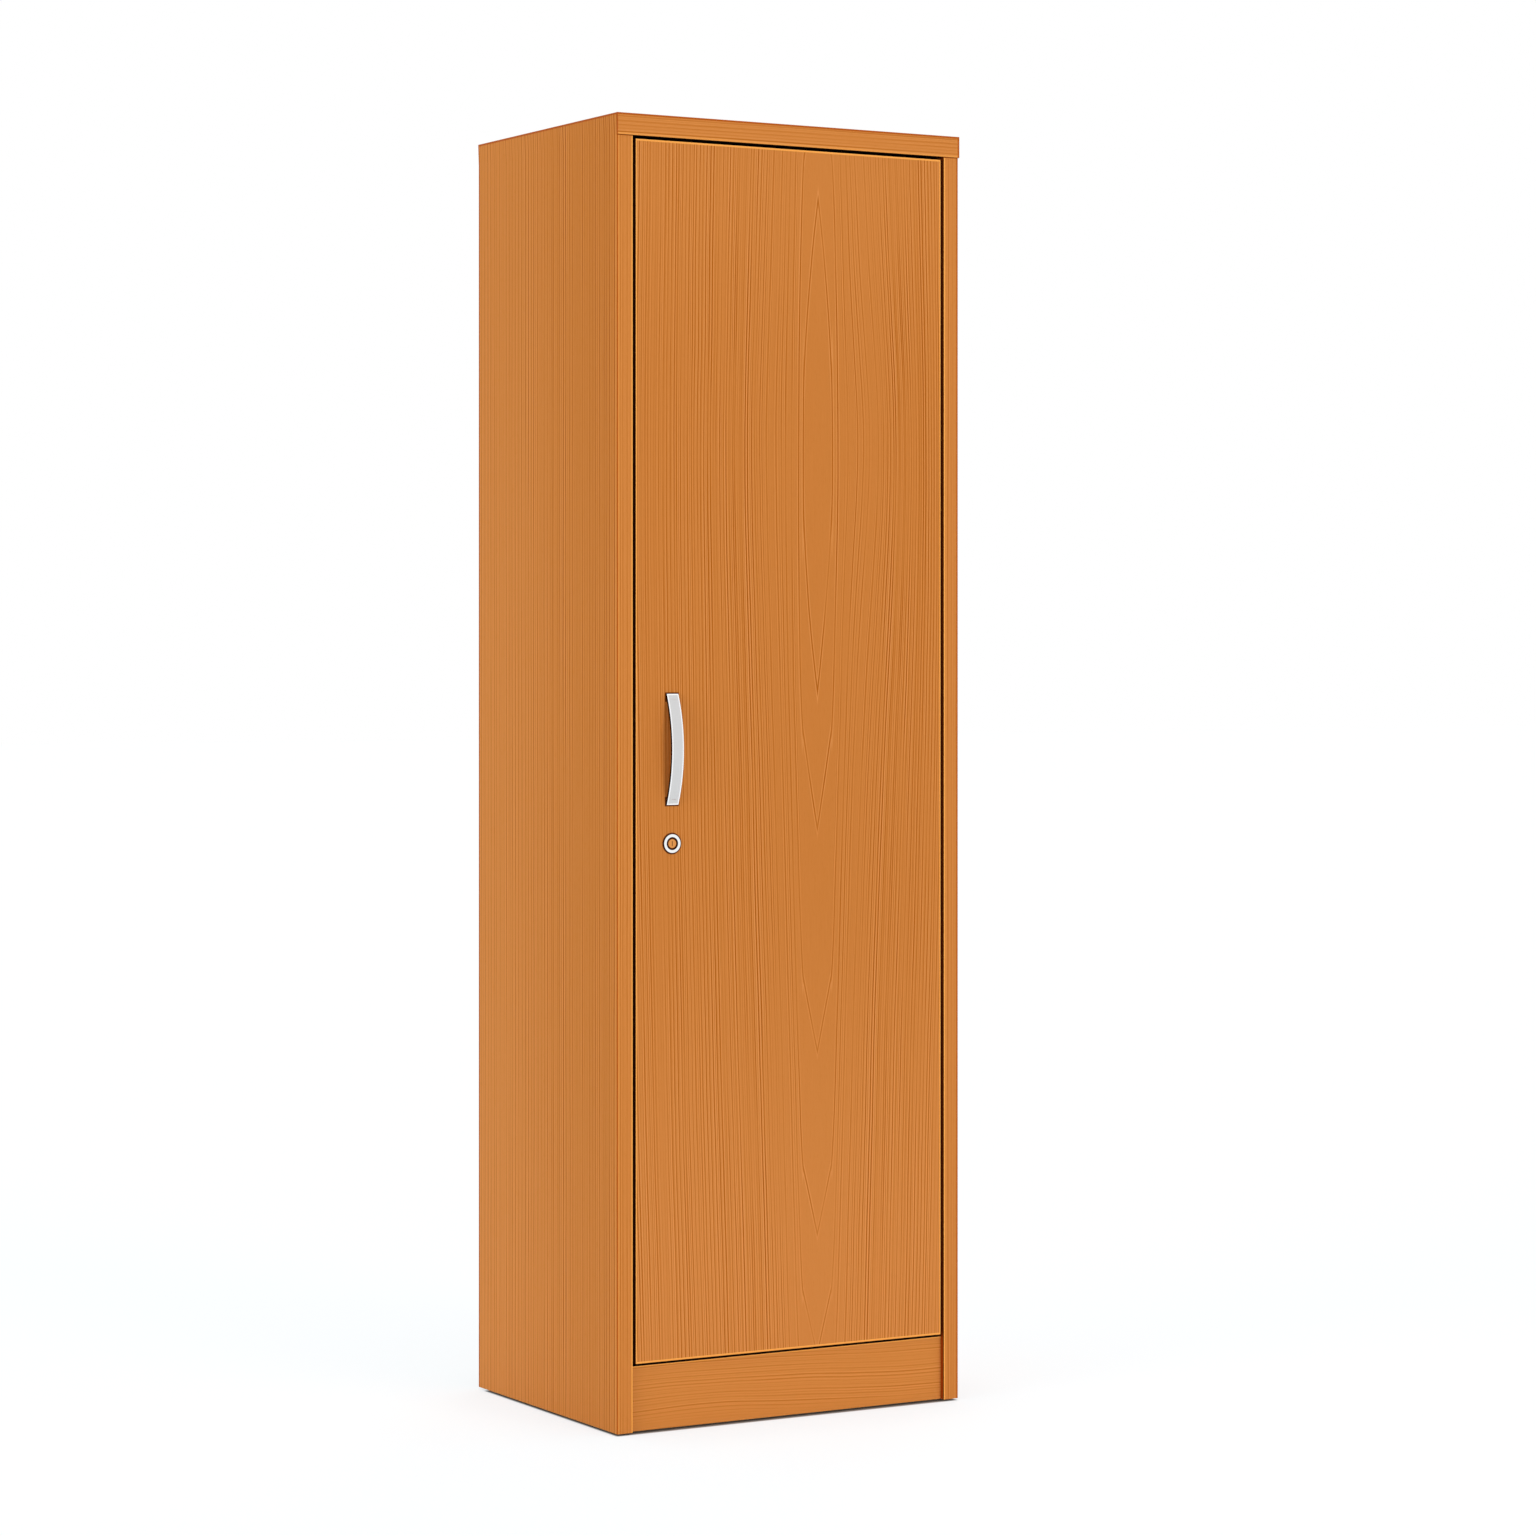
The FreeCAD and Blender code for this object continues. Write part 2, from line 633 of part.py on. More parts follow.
def bow_handle():
    """A flat strip bowed away from the door, with a short boss behind each end for its screw."""
    left_x = handle_x - bow_width / 2

    def at(along, out):
        return Vector(left_x, door_front_y - out, handle_height + along)

    half = bow_length / 2
    crown = bow_rise - bow_end_height
    outer_radius = (half ** 2 + crown ** 2) / (2 * crown)

    def arc(inset, foot):
        """An arc inside the outer face by the inset, down to the foot's height, and its half chord."""
        chord = math.sqrt((outer_radius - inset) ** 2 - (outer_radius - bow_rise + foot) ** 2)
        return Part.Arc(at(-chord, foot), at(0, bow_rise - inset), at(chord, foot)).toShape(), chord

    outer_arc, outer = arc(0, bow_end_height)
    inner_arc, inner = arc(bow_thickness, 0)
    outline = [outer_arc, inner_arc]
    for side in (-1, 1):
        outline.append(Part.makeLine(at(side * outer, bow_end_height), at(side * outer, 0)))
        outline.append(Part.makeLine(at(side * outer, 0), at(side * inner, 0)))
    strip = plate(outline, RIGHT * bow_width)
    front_edges = []
    for face in strip.Faces:
        if hasattr(face.Surface, "Radius") and math.isclose(face.Surface.Radius, outer_radius):
            front_edges.extend(face.Edges)
    bow = strip.makeFillet(bow_edge_round, front_edges)
    middle_arc, middle = arc(bow_thickness / 2, 0)
    under_bow = plate([middle_arc, Part.makeLine(at(middle, 0), at(-middle, 0))], RIGHT * bow_width)
    length = door_thickness + handle_screw_bite
    for side in (-1, 1):
        seat = Vector(handle_x, door_rear_y, handle_height + side * handle_screw_spacing / 2)
        boss_foot = seat + FRONT * door_thickness
        bow = bow.fuse(rod(bow_boss_radius, bow_rise, boss_foot, FRONT).common(under_bow))
        head = (handle_screw_head_radius, handle_screw_head_height)
        add("handle_screws", screw(seat, FRONT, handle_screw_radius, length, *head))
        cut("door_panel", bore(handle_screw_hole, door_thickness + overrun, seat, FRONT))
        tapped = rod(handle_screw_radius + fit_clearance, length + hole_end_clearance, seat, FRONT)
        cut("bow_handle", tapped)
    add("bow_handle", bow.removeSplitter())


def cam_lock():
    axis = Vector(handle_x, door_front_y, lock_height)
    rear_face = Vector(handle_x, door_rear_y, lock_height)
    barrel_length = door_thickness + barrel_stand
    bezel = rod(bezel_radius, bezel_thickness, axis, FRONT)
    middle_y = door_front_y - bezel_thickness / 2
    front_rim = [edge for edge in bezel.Edges if edge.BoundBox.YMax < middle_y]
    bezel = bezel.makeFillet(bezel_round, front_rim)
    barrel = rod(barrel_radius, barrel_length, axis, REAR)
    face = axis + FRONT * bezel_thickness
    head_depth = plug_recess + plug_head_height
    counterbore = bore(plug_head_radius + running_clearance, head_depth + running_clearance, face, REAR)
    through = bore(plug_radius + running_clearance, bezel_thickness + barrel_length + overrun, face, REAR)
    add("lock_housing", bezel.fuse(barrel).removeSplitter().cut([counterbore, through]))
    cut("door_panel", bore(barrel_radius + running_clearance, door_thickness + overrun, axis, REAR))

    corners = []
    for step in range(lock_nut_sides):
        angle = math.tau * step / lock_nut_sides
        reach = lock_nut_across / 2 / math.cos(math.pi / lock_nut_sides)
        corners.append((reach * math.cos(angle), reach * math.sin(angle), 0))
    hexagon = rounded_edges(corners, lambda u, v: rear_face + RIGHT * u + UP * v)
    nut_hole = bore(barrel_radius + fit_clearance, lock_nut_thickness + overrun, rear_face, REAR)
    add("lock_nut", plate(hexagon, REAR * lock_nut_thickness).cut(nut_hole))

    plug_face = face + REAR * plug_recess
    drive_y = cam_front_y + lock_cam_thickness
    head = rod(plug_head_radius, plug_head_height, plug_face, REAR)
    core = rod(plug_radius, cam_front_y - plug_face.y, plug_face, REAR)
    square = around(0, plug_square / 2)
    drive = box(
        (handle_x + square[0], handle_x + square[1]),
        (cam_front_y, drive_y),
        (lock_height + square[0], lock_height + square[1]),
    )
    keyway = box(
        around(handle_x, keyway_width / 2),
        (plug_face.y - overrun, plug_face.y + keyway_depth),
        around(lock_height, keyway_height / 2),
    )
    add("lock_plug", head.fuse([core, drive]).removeSplitter().cut(keyway))

    reach = handle_x + inner_half - strike_thickness - lock_cam_tip_clearance - lock_cam_tip_radius
    outline = hull_edges(
        ((0, 0, lock_cam_hub_radius), (0, -reach, lock_cam_tip_radius)),
        lambda u, v: Vector(handle_x + u, cam_front_y, lock_height + v),
    )
    socket = box(
        around(handle_x, plug_square / 2 + fit_clearance),
        (cam_front_y - overrun, drive_y + overrun),
        around(lock_height, plug_square / 2 + fit_clearance),
    )
    add("lock_cam", plate(outline, REAR * lock_cam_thickness).cut(socket))
    seat = Vector(handle_x, drive_y, lock_height)
    head_size = (cam_screw_head_radius, cam_screw_head_height)
    add("lock_cam_screw", screw(seat, FRONT, cam_screw_radius, cam_screw_length, *head_size))
    tapped_depth = cam_screw_length + hole_end_clearance
    cut("lock_plug", bore(cam_screw_radius + fit_clearance, tapped_depth, seat, FRONT))


def lock_strike():
    """A bent plate on the left side panel, whose short leg the lock cam turns behind."""
    wall_x = -inner_half
    front = cam_front_y - strike_clearance - strike_thickness
    corners = (
        (wall_x, front, strike_bend + strike_thickness),
        (wall_x + strike_reach, front, 0),
        (wall_x + strike_reach, front + strike_thickness, 0),
        (wall_x + strike_thickness, front + strike_thickness, strike_bend),
        (wall_x + strike_thickness, front + strike_leg, 0),
        (wall_x, front + strike_leg, 0),
    )
    low_z = lock_height - strike_height / 2
    edges = rounded_edges(corners, lambda u, v: Vector(u, v, low_z))
    add("lock_strike", plate(edges, UP * strike_height))
    screw_y = front + (strike_thickness + strike_leg) / 2
    for side in (-1, 1):
        seat = Vector(wall_x + strike_thickness, screw_y, lock_height + side * strike_screw_spacing / 2)
        wood_screw("strike_screws", seat, LEFT, "lock_strike", "left_side_panel")


side_panel("left_side_panel", -1)
side_panel("right_side_panel", 1)
top_panel()
base_boards()
shelf("hat_shelf", inner_half, back_y, hat_shelf_underside)
back_panel()
pin_rows()
carcass_joints()
coat_rail()
door()
hinges()
bow_handle()
cam_lock()
lock_strike()

os.makedirs("parts", exist_ok=True)
for node, pieces in solids.items():
    finished = []
    for piece in pieces:
        shape = piece.cut(cuts[node]) if node in cuts else piece
        finished.extend(shape.Solids)
    model = finished[0] if len(finished) == 1 else Part.makeCompound(finished)
    model.exportStep("parts/" + node + ".step")
    state = "valid" if model.isValid() else "not valid"
    print(node, len(finished), "solids", round(model.Volume), "mm3", state)
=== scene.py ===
# %% [markdown]
# A tall one-door locker in orange beech print, in studio light. The boards and fittings come from a finished
# CAD model and stay where they are. Blender adds what that model can't hold: the printed grain, the polished
# border of the handle, the recesses in the screw heads and the light. Each lesson says what a piece or finish
# is on the real locker, how it could be made, and why it is made this way here.

# %% Load the locker
import math

import bmesh
import bpy
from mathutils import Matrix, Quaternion, Vector


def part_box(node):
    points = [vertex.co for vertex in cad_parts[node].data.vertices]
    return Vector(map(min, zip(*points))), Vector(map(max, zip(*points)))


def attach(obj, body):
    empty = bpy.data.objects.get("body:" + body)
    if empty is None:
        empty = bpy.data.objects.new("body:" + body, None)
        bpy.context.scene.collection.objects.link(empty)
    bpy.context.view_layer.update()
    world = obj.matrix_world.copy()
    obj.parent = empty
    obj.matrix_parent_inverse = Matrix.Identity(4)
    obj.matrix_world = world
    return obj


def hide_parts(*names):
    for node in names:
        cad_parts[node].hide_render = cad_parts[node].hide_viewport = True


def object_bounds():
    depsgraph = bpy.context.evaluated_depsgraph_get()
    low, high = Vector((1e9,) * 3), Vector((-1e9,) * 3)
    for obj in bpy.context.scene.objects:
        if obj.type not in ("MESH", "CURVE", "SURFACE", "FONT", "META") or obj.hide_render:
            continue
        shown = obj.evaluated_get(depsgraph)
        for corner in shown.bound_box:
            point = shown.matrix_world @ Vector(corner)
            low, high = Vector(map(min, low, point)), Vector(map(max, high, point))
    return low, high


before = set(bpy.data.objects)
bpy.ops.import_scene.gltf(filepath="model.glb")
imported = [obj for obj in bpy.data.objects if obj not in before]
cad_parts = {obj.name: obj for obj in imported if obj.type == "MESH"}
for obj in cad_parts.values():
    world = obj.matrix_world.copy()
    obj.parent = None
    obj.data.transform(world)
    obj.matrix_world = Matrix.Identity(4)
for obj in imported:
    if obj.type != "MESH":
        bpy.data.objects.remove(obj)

X, Y, Z = 0, 1, 2
cad_low, cad_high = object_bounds()
print("CAD box in metres:", [round(side, 4) for side in cad_high - cad_low])

# %% [markdown]
# The camera stands to the locker's left, a little above the middle of the door, and looks past the front
# corner. A camera can be placed by eye, but a few measured corners of the photograph settle its place, its
# turn and its long lens by arithmetic. It isn't tilted, so upright edges stay upright. The lens is shifted
# instead, as on a view camera.

# %% Camera
camera_place = (-2.9475, -5.2034, 1.0673)
camera_turn = math.radians(30.196)
camera_lens = 97.72
camera_shift = -0.07602

bpy.ops.object.select_all(action="DESELECT")
bpy.ops.object.camera_add(location=camera_place, rotation=(math.pi / 2, 0, -camera_turn))
camera = bpy.context.object
camera.data.lens = camera_lens
camera.data.shift_y = camera_shift
bpy.context.scene.camera = camera
print("lens", camera.data.lens, "mm")

# %% [markdown]
# Every finish below is a network of shader nodes. Linking nodes one by one hides the formula, so a small
# class wraps an output socket and lets Python's own operators add Math nodes. Any other node comes from one
# method that sets the node's settings first and then its sockets, with a link where the value is a wire.


# %% Wires and finishes
class Wire:
    """An output socket that can stand in a Python sum."""

    def __init__(self, finish, socket):
        self.finish = finish
        self.socket = socket

    def math(self, operation, *others):
        return self.finish.math(operation, self, *others)

    def __add__(self, other):
        return self.math("ADD", other)

    def __sub__(self, other):
        return self.math("SUBTRACT", other)

    def __rsub__(self, other):
        return self.finish.math("SUBTRACT", other, self)

    def __mul__(self, other):
        return self.math("MULTIPLY", other)

    def __truediv__(self, other):
        return self.math("DIVIDE", other)

    def __pow__(self, other):
        return self.math("POWER", other)

    def __abs__(self):
        return self.math("ABSOLUTE")

    __radd__ = __add__

    def between(self, low, high):
        """A value of 0 to 1 spread from low to high."""
        return self * (high - low) + low

    def ramp(self, start, end, low=0.0, high=1.0):
        """A smooth step from low to high while the value runs from start to end."""
        if start > end:
            start, end, low, high = end, start, high, low
        limits = {"From Min": start, "From Max": end, "To Min": low, "To Max": high}
        settings = {"interpolation_type": "SMOOTHSTEP"}
        return self.finish.node("ShaderNodeMapRange", {"Value": self, **limits}, settings)


class Finish:
    """The node network of one material, or of the world."""

    def __init__(self, tree):
        self.tree = tree
        tree.nodes.clear()

    def node(self, kind, inputs=None, settings=None, output=0):
        made = self.tree.nodes.new(kind)
        for name, value in (settings or {}).items():
            setattr(made, name, value)
        for key, value in (inputs or {}).items():
            if isinstance(value, Wire):
                self.tree.links.new(value.socket, made.inputs[key])
            else:
                made.inputs[key].default_value = value
        return Wire(self, made.outputs[output]) if made.outputs else None

    def math(self, operation, *values):
        return self.node("ShaderNodeMath", dict(enumerate(values)), {"operation": operation})

    def mix(self, factor, first, second):
        """A colour between two colours. The colour sockets of a Mix node are its inputs 6 and 7."""
        settings = {"data_type": "RGBA", "clamp_factor": True}
        return self.node("ShaderNodeMix", {0: factor, 6: first, 7: second}, settings, output=2)

    def screen_mix(self, factor, first, second):
        """A mix of two colours of 0 to 255 as seen on screen, so that a step looks even in dark and pale."""
        seen = [tuple(part / 255 for part in colour) + (1.0,) for colour in (first, second)]
        return self.node("ShaderNodeGamma", {"Color": self.mix(factor, *seen), "Gamma": 2.2})

    def place(self):
        """The three parts of a point of the piece, in the piece's own metres."""
        point = self.node("ShaderNodeTexCoord", output="Object")
        return [self.node("ShaderNodeSeparateXYZ", {0: point}, output=axis) for axis in (X, Y, Z)]

    def noise(self, x, y, z, detail=2.0, roughness=0.5):
        point = self.node("ShaderNodeCombineXYZ", {X: x, Y: y, Z: z})
        sockets = {"Vector": point, "Scale": 1.0, "Detail": detail, "Roughness": roughness}
        return self.node("ShaderNodeTexNoise", sockets)

    def speckle(self, point, rates, **options):
        """Noise that changes as often in a metre along each axis as the rates say."""
        return self.noise(*[part * rate for part, rate in zip(point, rates)], **options)

    def bump(self, height, strength, distance):
        sockets = {"Height": height, "Strength": strength, "Distance": distance}
        return self.node("ShaderNodeBump", sockets)

    def output(self, shader, kind="ShaderNodeOutputMaterial"):
        self.node(kind, {"Surface": shader})

    def surface(self, **sockets):
        """Ends the network in one Principled shader. Underscores in the names stand for spaces."""
        inputs = {name.replace("_", " "): value for name, value in sockets.items()}
        self.output(self.node("ShaderNodeBsdfPrincipled", inputs))


def new_material(name):
    """A material with an empty network, and that network."""
    material = bpy.data.materials.new(name)
    material.use_nodes = True
    return material, Finish(material.node_tree)


def tone(red, green, blue):
    """A colour as seen on screen, 0 to 255, as the linear numbers that shaders use."""
    linear = []
    for part in (red, green, blue):
        share = part / 255
        linear.append(share / 12.92 if share <= 0.04045 else ((share + 0.055) / 1.055) ** 2.4)
    return (*linear, 1.0)


print("a mid grey on screen is linear", round(tone(128, 128, 128)[0], 3))

# %% [markdown]
# The stage is a white floor that runs to the horizon under a white sky. A floor that is lit until it is white
# would also light the locker too much. Here what the camera sees of the floor is mostly a glow of its own,
# with a part that takes light and shade, so the soft shadow by the base stays, with a tint from the boards.
# For the light that bounces on to the locker it is a plain pale floor. Under the locker nothing glows, which
# leaves a painted shadow where it stands.

# %% Floor and sky
sky_light = 0.50
floor_pale = tone(235, 235, 235)
floor_shade = (0.40, 0.38, 0.36, 1.0)
floor_glow = (0.652, 0.695, 0.725, 1.0)
floor_side = 80.0
foot_inset = (0.001, 0.018)
foot_blur = 0.004


def seen_directly(finish):
    """One for rays from the camera, mirrors and glass, and zero for the rays that light the piece."""
    rays = ("Is Camera Ray", "Is Glossy Ray", "Is Transmission Ray")
    camera_ray, glossy_ray, clear_ray = (finish.node("ShaderNodeLightPath", output=ray) for ray in rays)
    return camera_ray.math("MAXIMUM", glossy_ray).math("MAXIMUM", clear_ray)


bpy.ops.object.select_all(action="DESELECT")
bpy.ops.mesh.primitive_plane_add(size=floor_side)
floor = bpy.context.object
floor.name = "studio_floor"
floor_material, finish = new_material("studio_floor")
point = finish.place()
# Painted shadow: the floor's glow fades out under the locker's footprint.
footprint_shadow = 1.0
for axis in (X, Y):
    middle = (cad_low[axis] + cad_high[axis]) / 2
    half = (cad_high[axis] - cad_low[axis]) / 2 - foot_inset[axis]
    footprint_shadow = abs(point[axis] - middle).ramp(half + foot_blur, half - foot_blur) * footprint_shadow
shade = finish.node("ShaderNodeBsdfDiffuse", {"Color": floor_shade})
glow_colour = finish.mix(footprint_shadow, floor_glow, (0.0, 0.0, 0.0, 1.0))
glow = finish.node("ShaderNodeEmission", {"Color": glow_colour, "Strength": 1.0})
shown = finish.node("ShaderNodeAddShader", {0: shade, 1: glow})
bounce = finish.node("ShaderNodeBsdfDiffuse", {"Color": floor_pale})
finish.output(finish.node("ShaderNodeMixShader", {0: seen_directly(finish), 1: bounce, 2: shown}))
floor.data.materials.append(floor_material)

world = bpy.data.worlds.new("studio_sky")
world.use_nodes = True
bpy.context.scene.world = world
finish = Finish(world.node_tree)
light = finish.node("ShaderNodeBackground", {"Color": (1.0,) * 4, "Strength": sky_light})
white = finish.node("ShaderNodeBackground", {"Color": (1.0,) * 4, "Strength": 1.0})
sky = finish.node("ShaderNodeMixShader", {0: seen_directly(finish), 1: light, 2: white})
finish.output(sky, "ShaderNodeOutputWorld")
bpy.context.scene.view_settings.view_transform = "Standard"
print("sky light", sky_light, "floor", floor_side, "m")

# %% [markdown]
# Wide, soft lamps stand in for studio soft boxes. One is in front and a little to the right, which puts the
# handle's shadow on the door at its left. One lights the left side, one the top, and one the right and the
# back. Sun lamps are used because their light doesn't fade with distance. All but the top one stand low, so
# the floor gets only the soft shade of the sky and no long shadow, and mirrors see the sky and not the lamps.

# %% Lamps
lamp_height = cad_high.z + 1
lamps = {
    "front_lamp": {"side": 14.0, "rise": 6.0, "width": 24.0, "level": 0.40},
    "left_lamp": {"side": -78.0, "rise": 5.0, "width": 30.0, "level": 0.42},
    "back_lamp": {"side": 135.0, "rise": 3.0, "width": 30.0, "level": 0.34},
    "top_lamp": {"side": 0.0, "rise": 90.0, "width": 10.0, "level": 0.25},
}
for name, aim in lamps.items():
    bpy.ops.object.select_all(action="DESELECT")
    turn = (math.radians(90 - aim["rise"]), 0, math.radians(aim["side"]))
    bpy.ops.object.light_add(type="SUN", location=(0, 0, lamp_height), rotation=turn)
    lamp = bpy.context.object
    lamp.name = name
    lamp.visible_glossy = False
    lamp.data.angle = math.radians(aim["width"])
    lamp.data.energy = aim["level"] * math.pi
    print(name, "adds", aim["level"], "of white to a face that looks at it")

# %% [markdown]
# The boards are chipboard with a printed paper under clear resin. The print is orange beech: fine darker
# lines along the board, a few wide pale and dark streaks, and short pores. It could be painted, but a formula
# stays sharp at any distance. The lines are year rings: a number that counts rings across the board is cut
# into whole rings, and each draws one line with a pale hem. On the door the board is cut near the heart of
# the tree, so the count also grows along the board. The rings there close into long pointed ovals, and the
# lines beside them flow round.

# %% Printed beech grain
beech_pale = (220, 143, 78)
beech_deep = (160, 83, 16)
plain_look = {
    "stretch": 1.0, "bend": 1.3, "sway": 0.012, "lean": 0.0, "contrast": 1.0, "depth": 0.27,
    "pale": beech_pale, "deep": beech_deep, "fades": (),
}
ring_pitch = 0.0064
ring_width = 0.0015
ring_scatter = 0.5
core_share = 0.2
hem_share = 2.2
hem_force = 0.50
least_force = 0.35
rings_left_out = 0.20
faint_width = 0.0010
faint_rate = 1.38
faint_seed = 0.8
flow_step = 0.001
sway_rate = 5.0
ripple_reach = 0.0010
wax_limits = (0.32, 0.60)
least_wax = 0.30
pore_limits = (0.66, 0.74)
weights = {"ring": 0.64, "faint": 0.36, "fibre": 0.10, "streak": 0.04, "pore": 0.06}
# How often each part of the print changes in a metre, across the board and along it, and its own seed.
print_rates = {
    "ripple": (40.0, 9.0, 1.7), "wax": (60.0, 3.2, 4.1), "fibre": (1100.0, 14.0, 6.9),
    "streak": (16.0, 0.6, 8.2), "pore": (2600.0, 90.0, 5.5),
}


def ring_lines(finish, count, crowding, width, seed):
    """Thin dark lines, one in each whole ring of a count, each with its own force and a pale hem.

    The crowding is how many rings there are to a metre, so that a line is as thin where rings are wide.
    """
    count = count + seed
    cell = count.math("FLOOR")
    chance = finish.node("ShaderNodeTexWhiteNoise", {"W": cell}, {"noise_dimensions": "1D"}, output="Color")
    chances = [finish.node("ShaderNodeSeparateColor", {0: chance}, output=part) for part in range(3)]
    shift, force, gap = chances
    offset = abs(count - cell - 0.5 - (shift - 0.5) * ring_scatter) / crowding
    core = offset.ramp(width, width * core_share)
    hem = offset.ramp(width * hem_share, width) - core
    return (core - hem * hem_force) * force.between(least_force, 1.0) * gap.ramp(0.0, rings_left_out)


def heart_rings(across, along, heart):
    """The count of rings round the heart of a board, the rings to a metre, and where the rings crowd.

    Within the heart the rings are wide and close into long pointed ovals. Outside they stand close together.
    The heart's values are its place, half its width, how far out the rings draw close, the width of its
    rings, and the pitch and roundness of their tips.
    """
    beside = abs(across - heart["across"])
    outside = (beside - heart["half"]).math("MAXIMUM", 0.0)
    blend = outside + heart["blend"]
    sideways = 1 / heart["ring"] + outside * (outside + heart["blend"] * 2) / (blend * blend) / ring_pitch
    turns = (along - heart["along"]) / heart["tip_pitch"]
    length = (turns * turns + heart["tip_round"] ** 2) ** 0.5
    upwards = turns / length / heart["tip_pitch"]
    count = beside / heart["ring"] + outside * outside / blend / ring_pitch + length - heart["tip_round"]
    crowding = (sideways * sideways + upwards * upwards) ** 0.5
    return count, crowding, beside.ramp(heart["half"], heart["half"] + heart["blend"])


def heart_push(across, along, heart):
    """How far the lines beside the heart are pushed outwards, so that they flow round its ovals.

    The flow is where the push starts, is greatest and ends. The push has a value for the left and the right.
    """
    beside = across - heart["across"]
    start, crest, end = heart["flow"]
    turns = (along - heart["along"]) / heart["flow_long"]
    left, right = heart["push"]
    outwards = beside.ramp(start, crest) * beside.ramp(end, crest) * right
    outwards = outwards - beside.ramp(-start, -crest) * beside.ramp(-end, -crest) * left
    return outwards * (turns * turns + 1.0) ** -1.0


def printed_grain(finish, across, along, look):
    """How dark the print is, 0 to 1, and where its pores are, at a point of a board in metres."""
    look = {**plain_look, **look}
    seed = look["seed"]
    across = across / look["stretch"]

    def change(part, **options):
        sideways, lengthwise, own_seed = print_rates[part]
        return finish.noise(across * sideways, along * lengthwise, seed + own_seed, **options)

    sway = finish.noise(across * sway_rate, along * look["bend"], seed)
    bent = across + (sway - 0.5) * look["sway"] + (change("ripple") - 0.5) * ripple_reach
    bent = bent + along * look["lean"]
    count, crowding, crowded = bent / ring_pitch, 1 / ring_pitch, 1.0
    if "heart" in look:
        heart = look["heart"]
        push = heart_push(bent, along, heart)
        spread = (heart_push(bent + flow_step, along, heart) - push) / flow_step
        count, crowding, crowded = heart_rings(bent - push, along, heart)
        crowding = crowding * (1 - spread)
    rings = ring_lines(finish, count, crowding, ring_width, seed)
    faint = ring_lines(finish, count * faint_rate, crowding * faint_rate, faint_width, seed + faint_seed)
    wax = change("wax").ramp(*wax_limits, least_wax, 1.0)
    pores = change("pore", detail=0.0).ramp(*pore_limits)
    dark = (rings * weights["ring"] + faint * crowded * weights["faint"]) * wax * look["contrast"]
    for part in ("fibre", "streak"):
        dark = dark + (change(part) - 0.5) * weights[part]
    return dark + pores * weights["pore"] + look["depth"], pores


print("the print runs from", beech_pale, "to", beech_deep, "with a ring each", ring_pitch, "m")

# %% [markdown]
# A board shows its print on its faces. Where no band covers an edge, its pressed chips show, and faces in the
# gap round the door carry painted shade. Each could be a piece with a finish of its own, but one finish per
# board, with masks on the place of a point, lets the print run on without a seam.

# %% Board finish
chip_rate = 420.0
speck_rate = 900.0
chip_weight = 0.6
chip_dark = tone(120, 84, 50)
chip_pale = tone(206, 168, 118)
skin = 0.0002
print_rough = 0.46
pore_rough = 0.58
chip_rough = 0.4
print_shine = 0.06


def chipboard(finish, point):
    """Pressed wood chips, as on an edge that no band covers."""
    place = finish.node("ShaderNodeCombineXYZ", dict(enumerate(point)))
    chips = finish.node("ShaderNodeTexVoronoi", {"Vector": place, "Scale": chip_rate}, output="Color")
    level = finish.node("ShaderNodeSeparateColor", {0: chips})
    speck = finish.speckle(point, (speck_rate,) * 3)
    return finish.mix(level * chip_weight + speck * (1 - chip_weight), chip_dark, chip_pale)


def inset_from(point, node, way):
    """How far in a point lies from the end of a node in a way such as "+y"."""
    axis = "xyz".index(way[1])
    low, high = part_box(node)
    return high[axis] - point[axis] if way[0] == "+" else point[axis] - low[axis]


def end_of(point, node, way):
    """One on the outermost skin of a node in a way such as "+y", and zero on the rest of it."""
    return inset_from(point, node, way).math("LESS_THAN", skin)


def board_material(node, axes, look, light_and_shade, bare=(), gaps=()):
    """Printed board. The axes are the ways across and along the grain, then a function paints light and shade
    on the print.

    Bare lists the edges that no band covers. Gaps lists faces that look into the gap round the door, each
    with the depth at which its painted shade starts, the depth at which it is full, and the shade's colour.
    The look's fades change how dark the print is between two places along an axis.
    """
    look = {**plain_look, **look}
    material, finish = new_material(node)
    point = finish.place()
    across, along = (point[axis] for axis in axes)
    dark, pores = printed_grain(finish, across, along, look)
    for axis, start, end, change in look["fades"]:
        dark = dark + point[axis].ramp(start, end) * change
    colour = light_and_shade(finish, point, finish.screen_mix(dark, look["pale"], look["deep"]))
    rough = pores.between(print_rough, pore_rough)
    for way, start, end, shade in gaps:
        mask = end_of(point, node, way) * point[Y].ramp(start, end)
        colour = finish.mix(mask, colour, shade)
    for way in bare:
        mask = end_of(point, node, way)
        colour = finish.mix(mask, colour, chipboard(finish, point))
        rough = rough + mask * chip_rough
    finish.surface(
        Base_Color=colour, Roughness=rough, Specular_IOR_Level=print_shine,
        Normal=finish.bump(1 - pores, strength=0.15, distance=0.0002),
    )
    return material


def dress(node, material):
    """Gives a CAD node its finish in place of the plain one that it came with."""
    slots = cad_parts[node].data.materials
    slots.clear()
    slots.append(material)


print("bare edges show chips of about", round(1000 / chip_rate, 1), "mm")
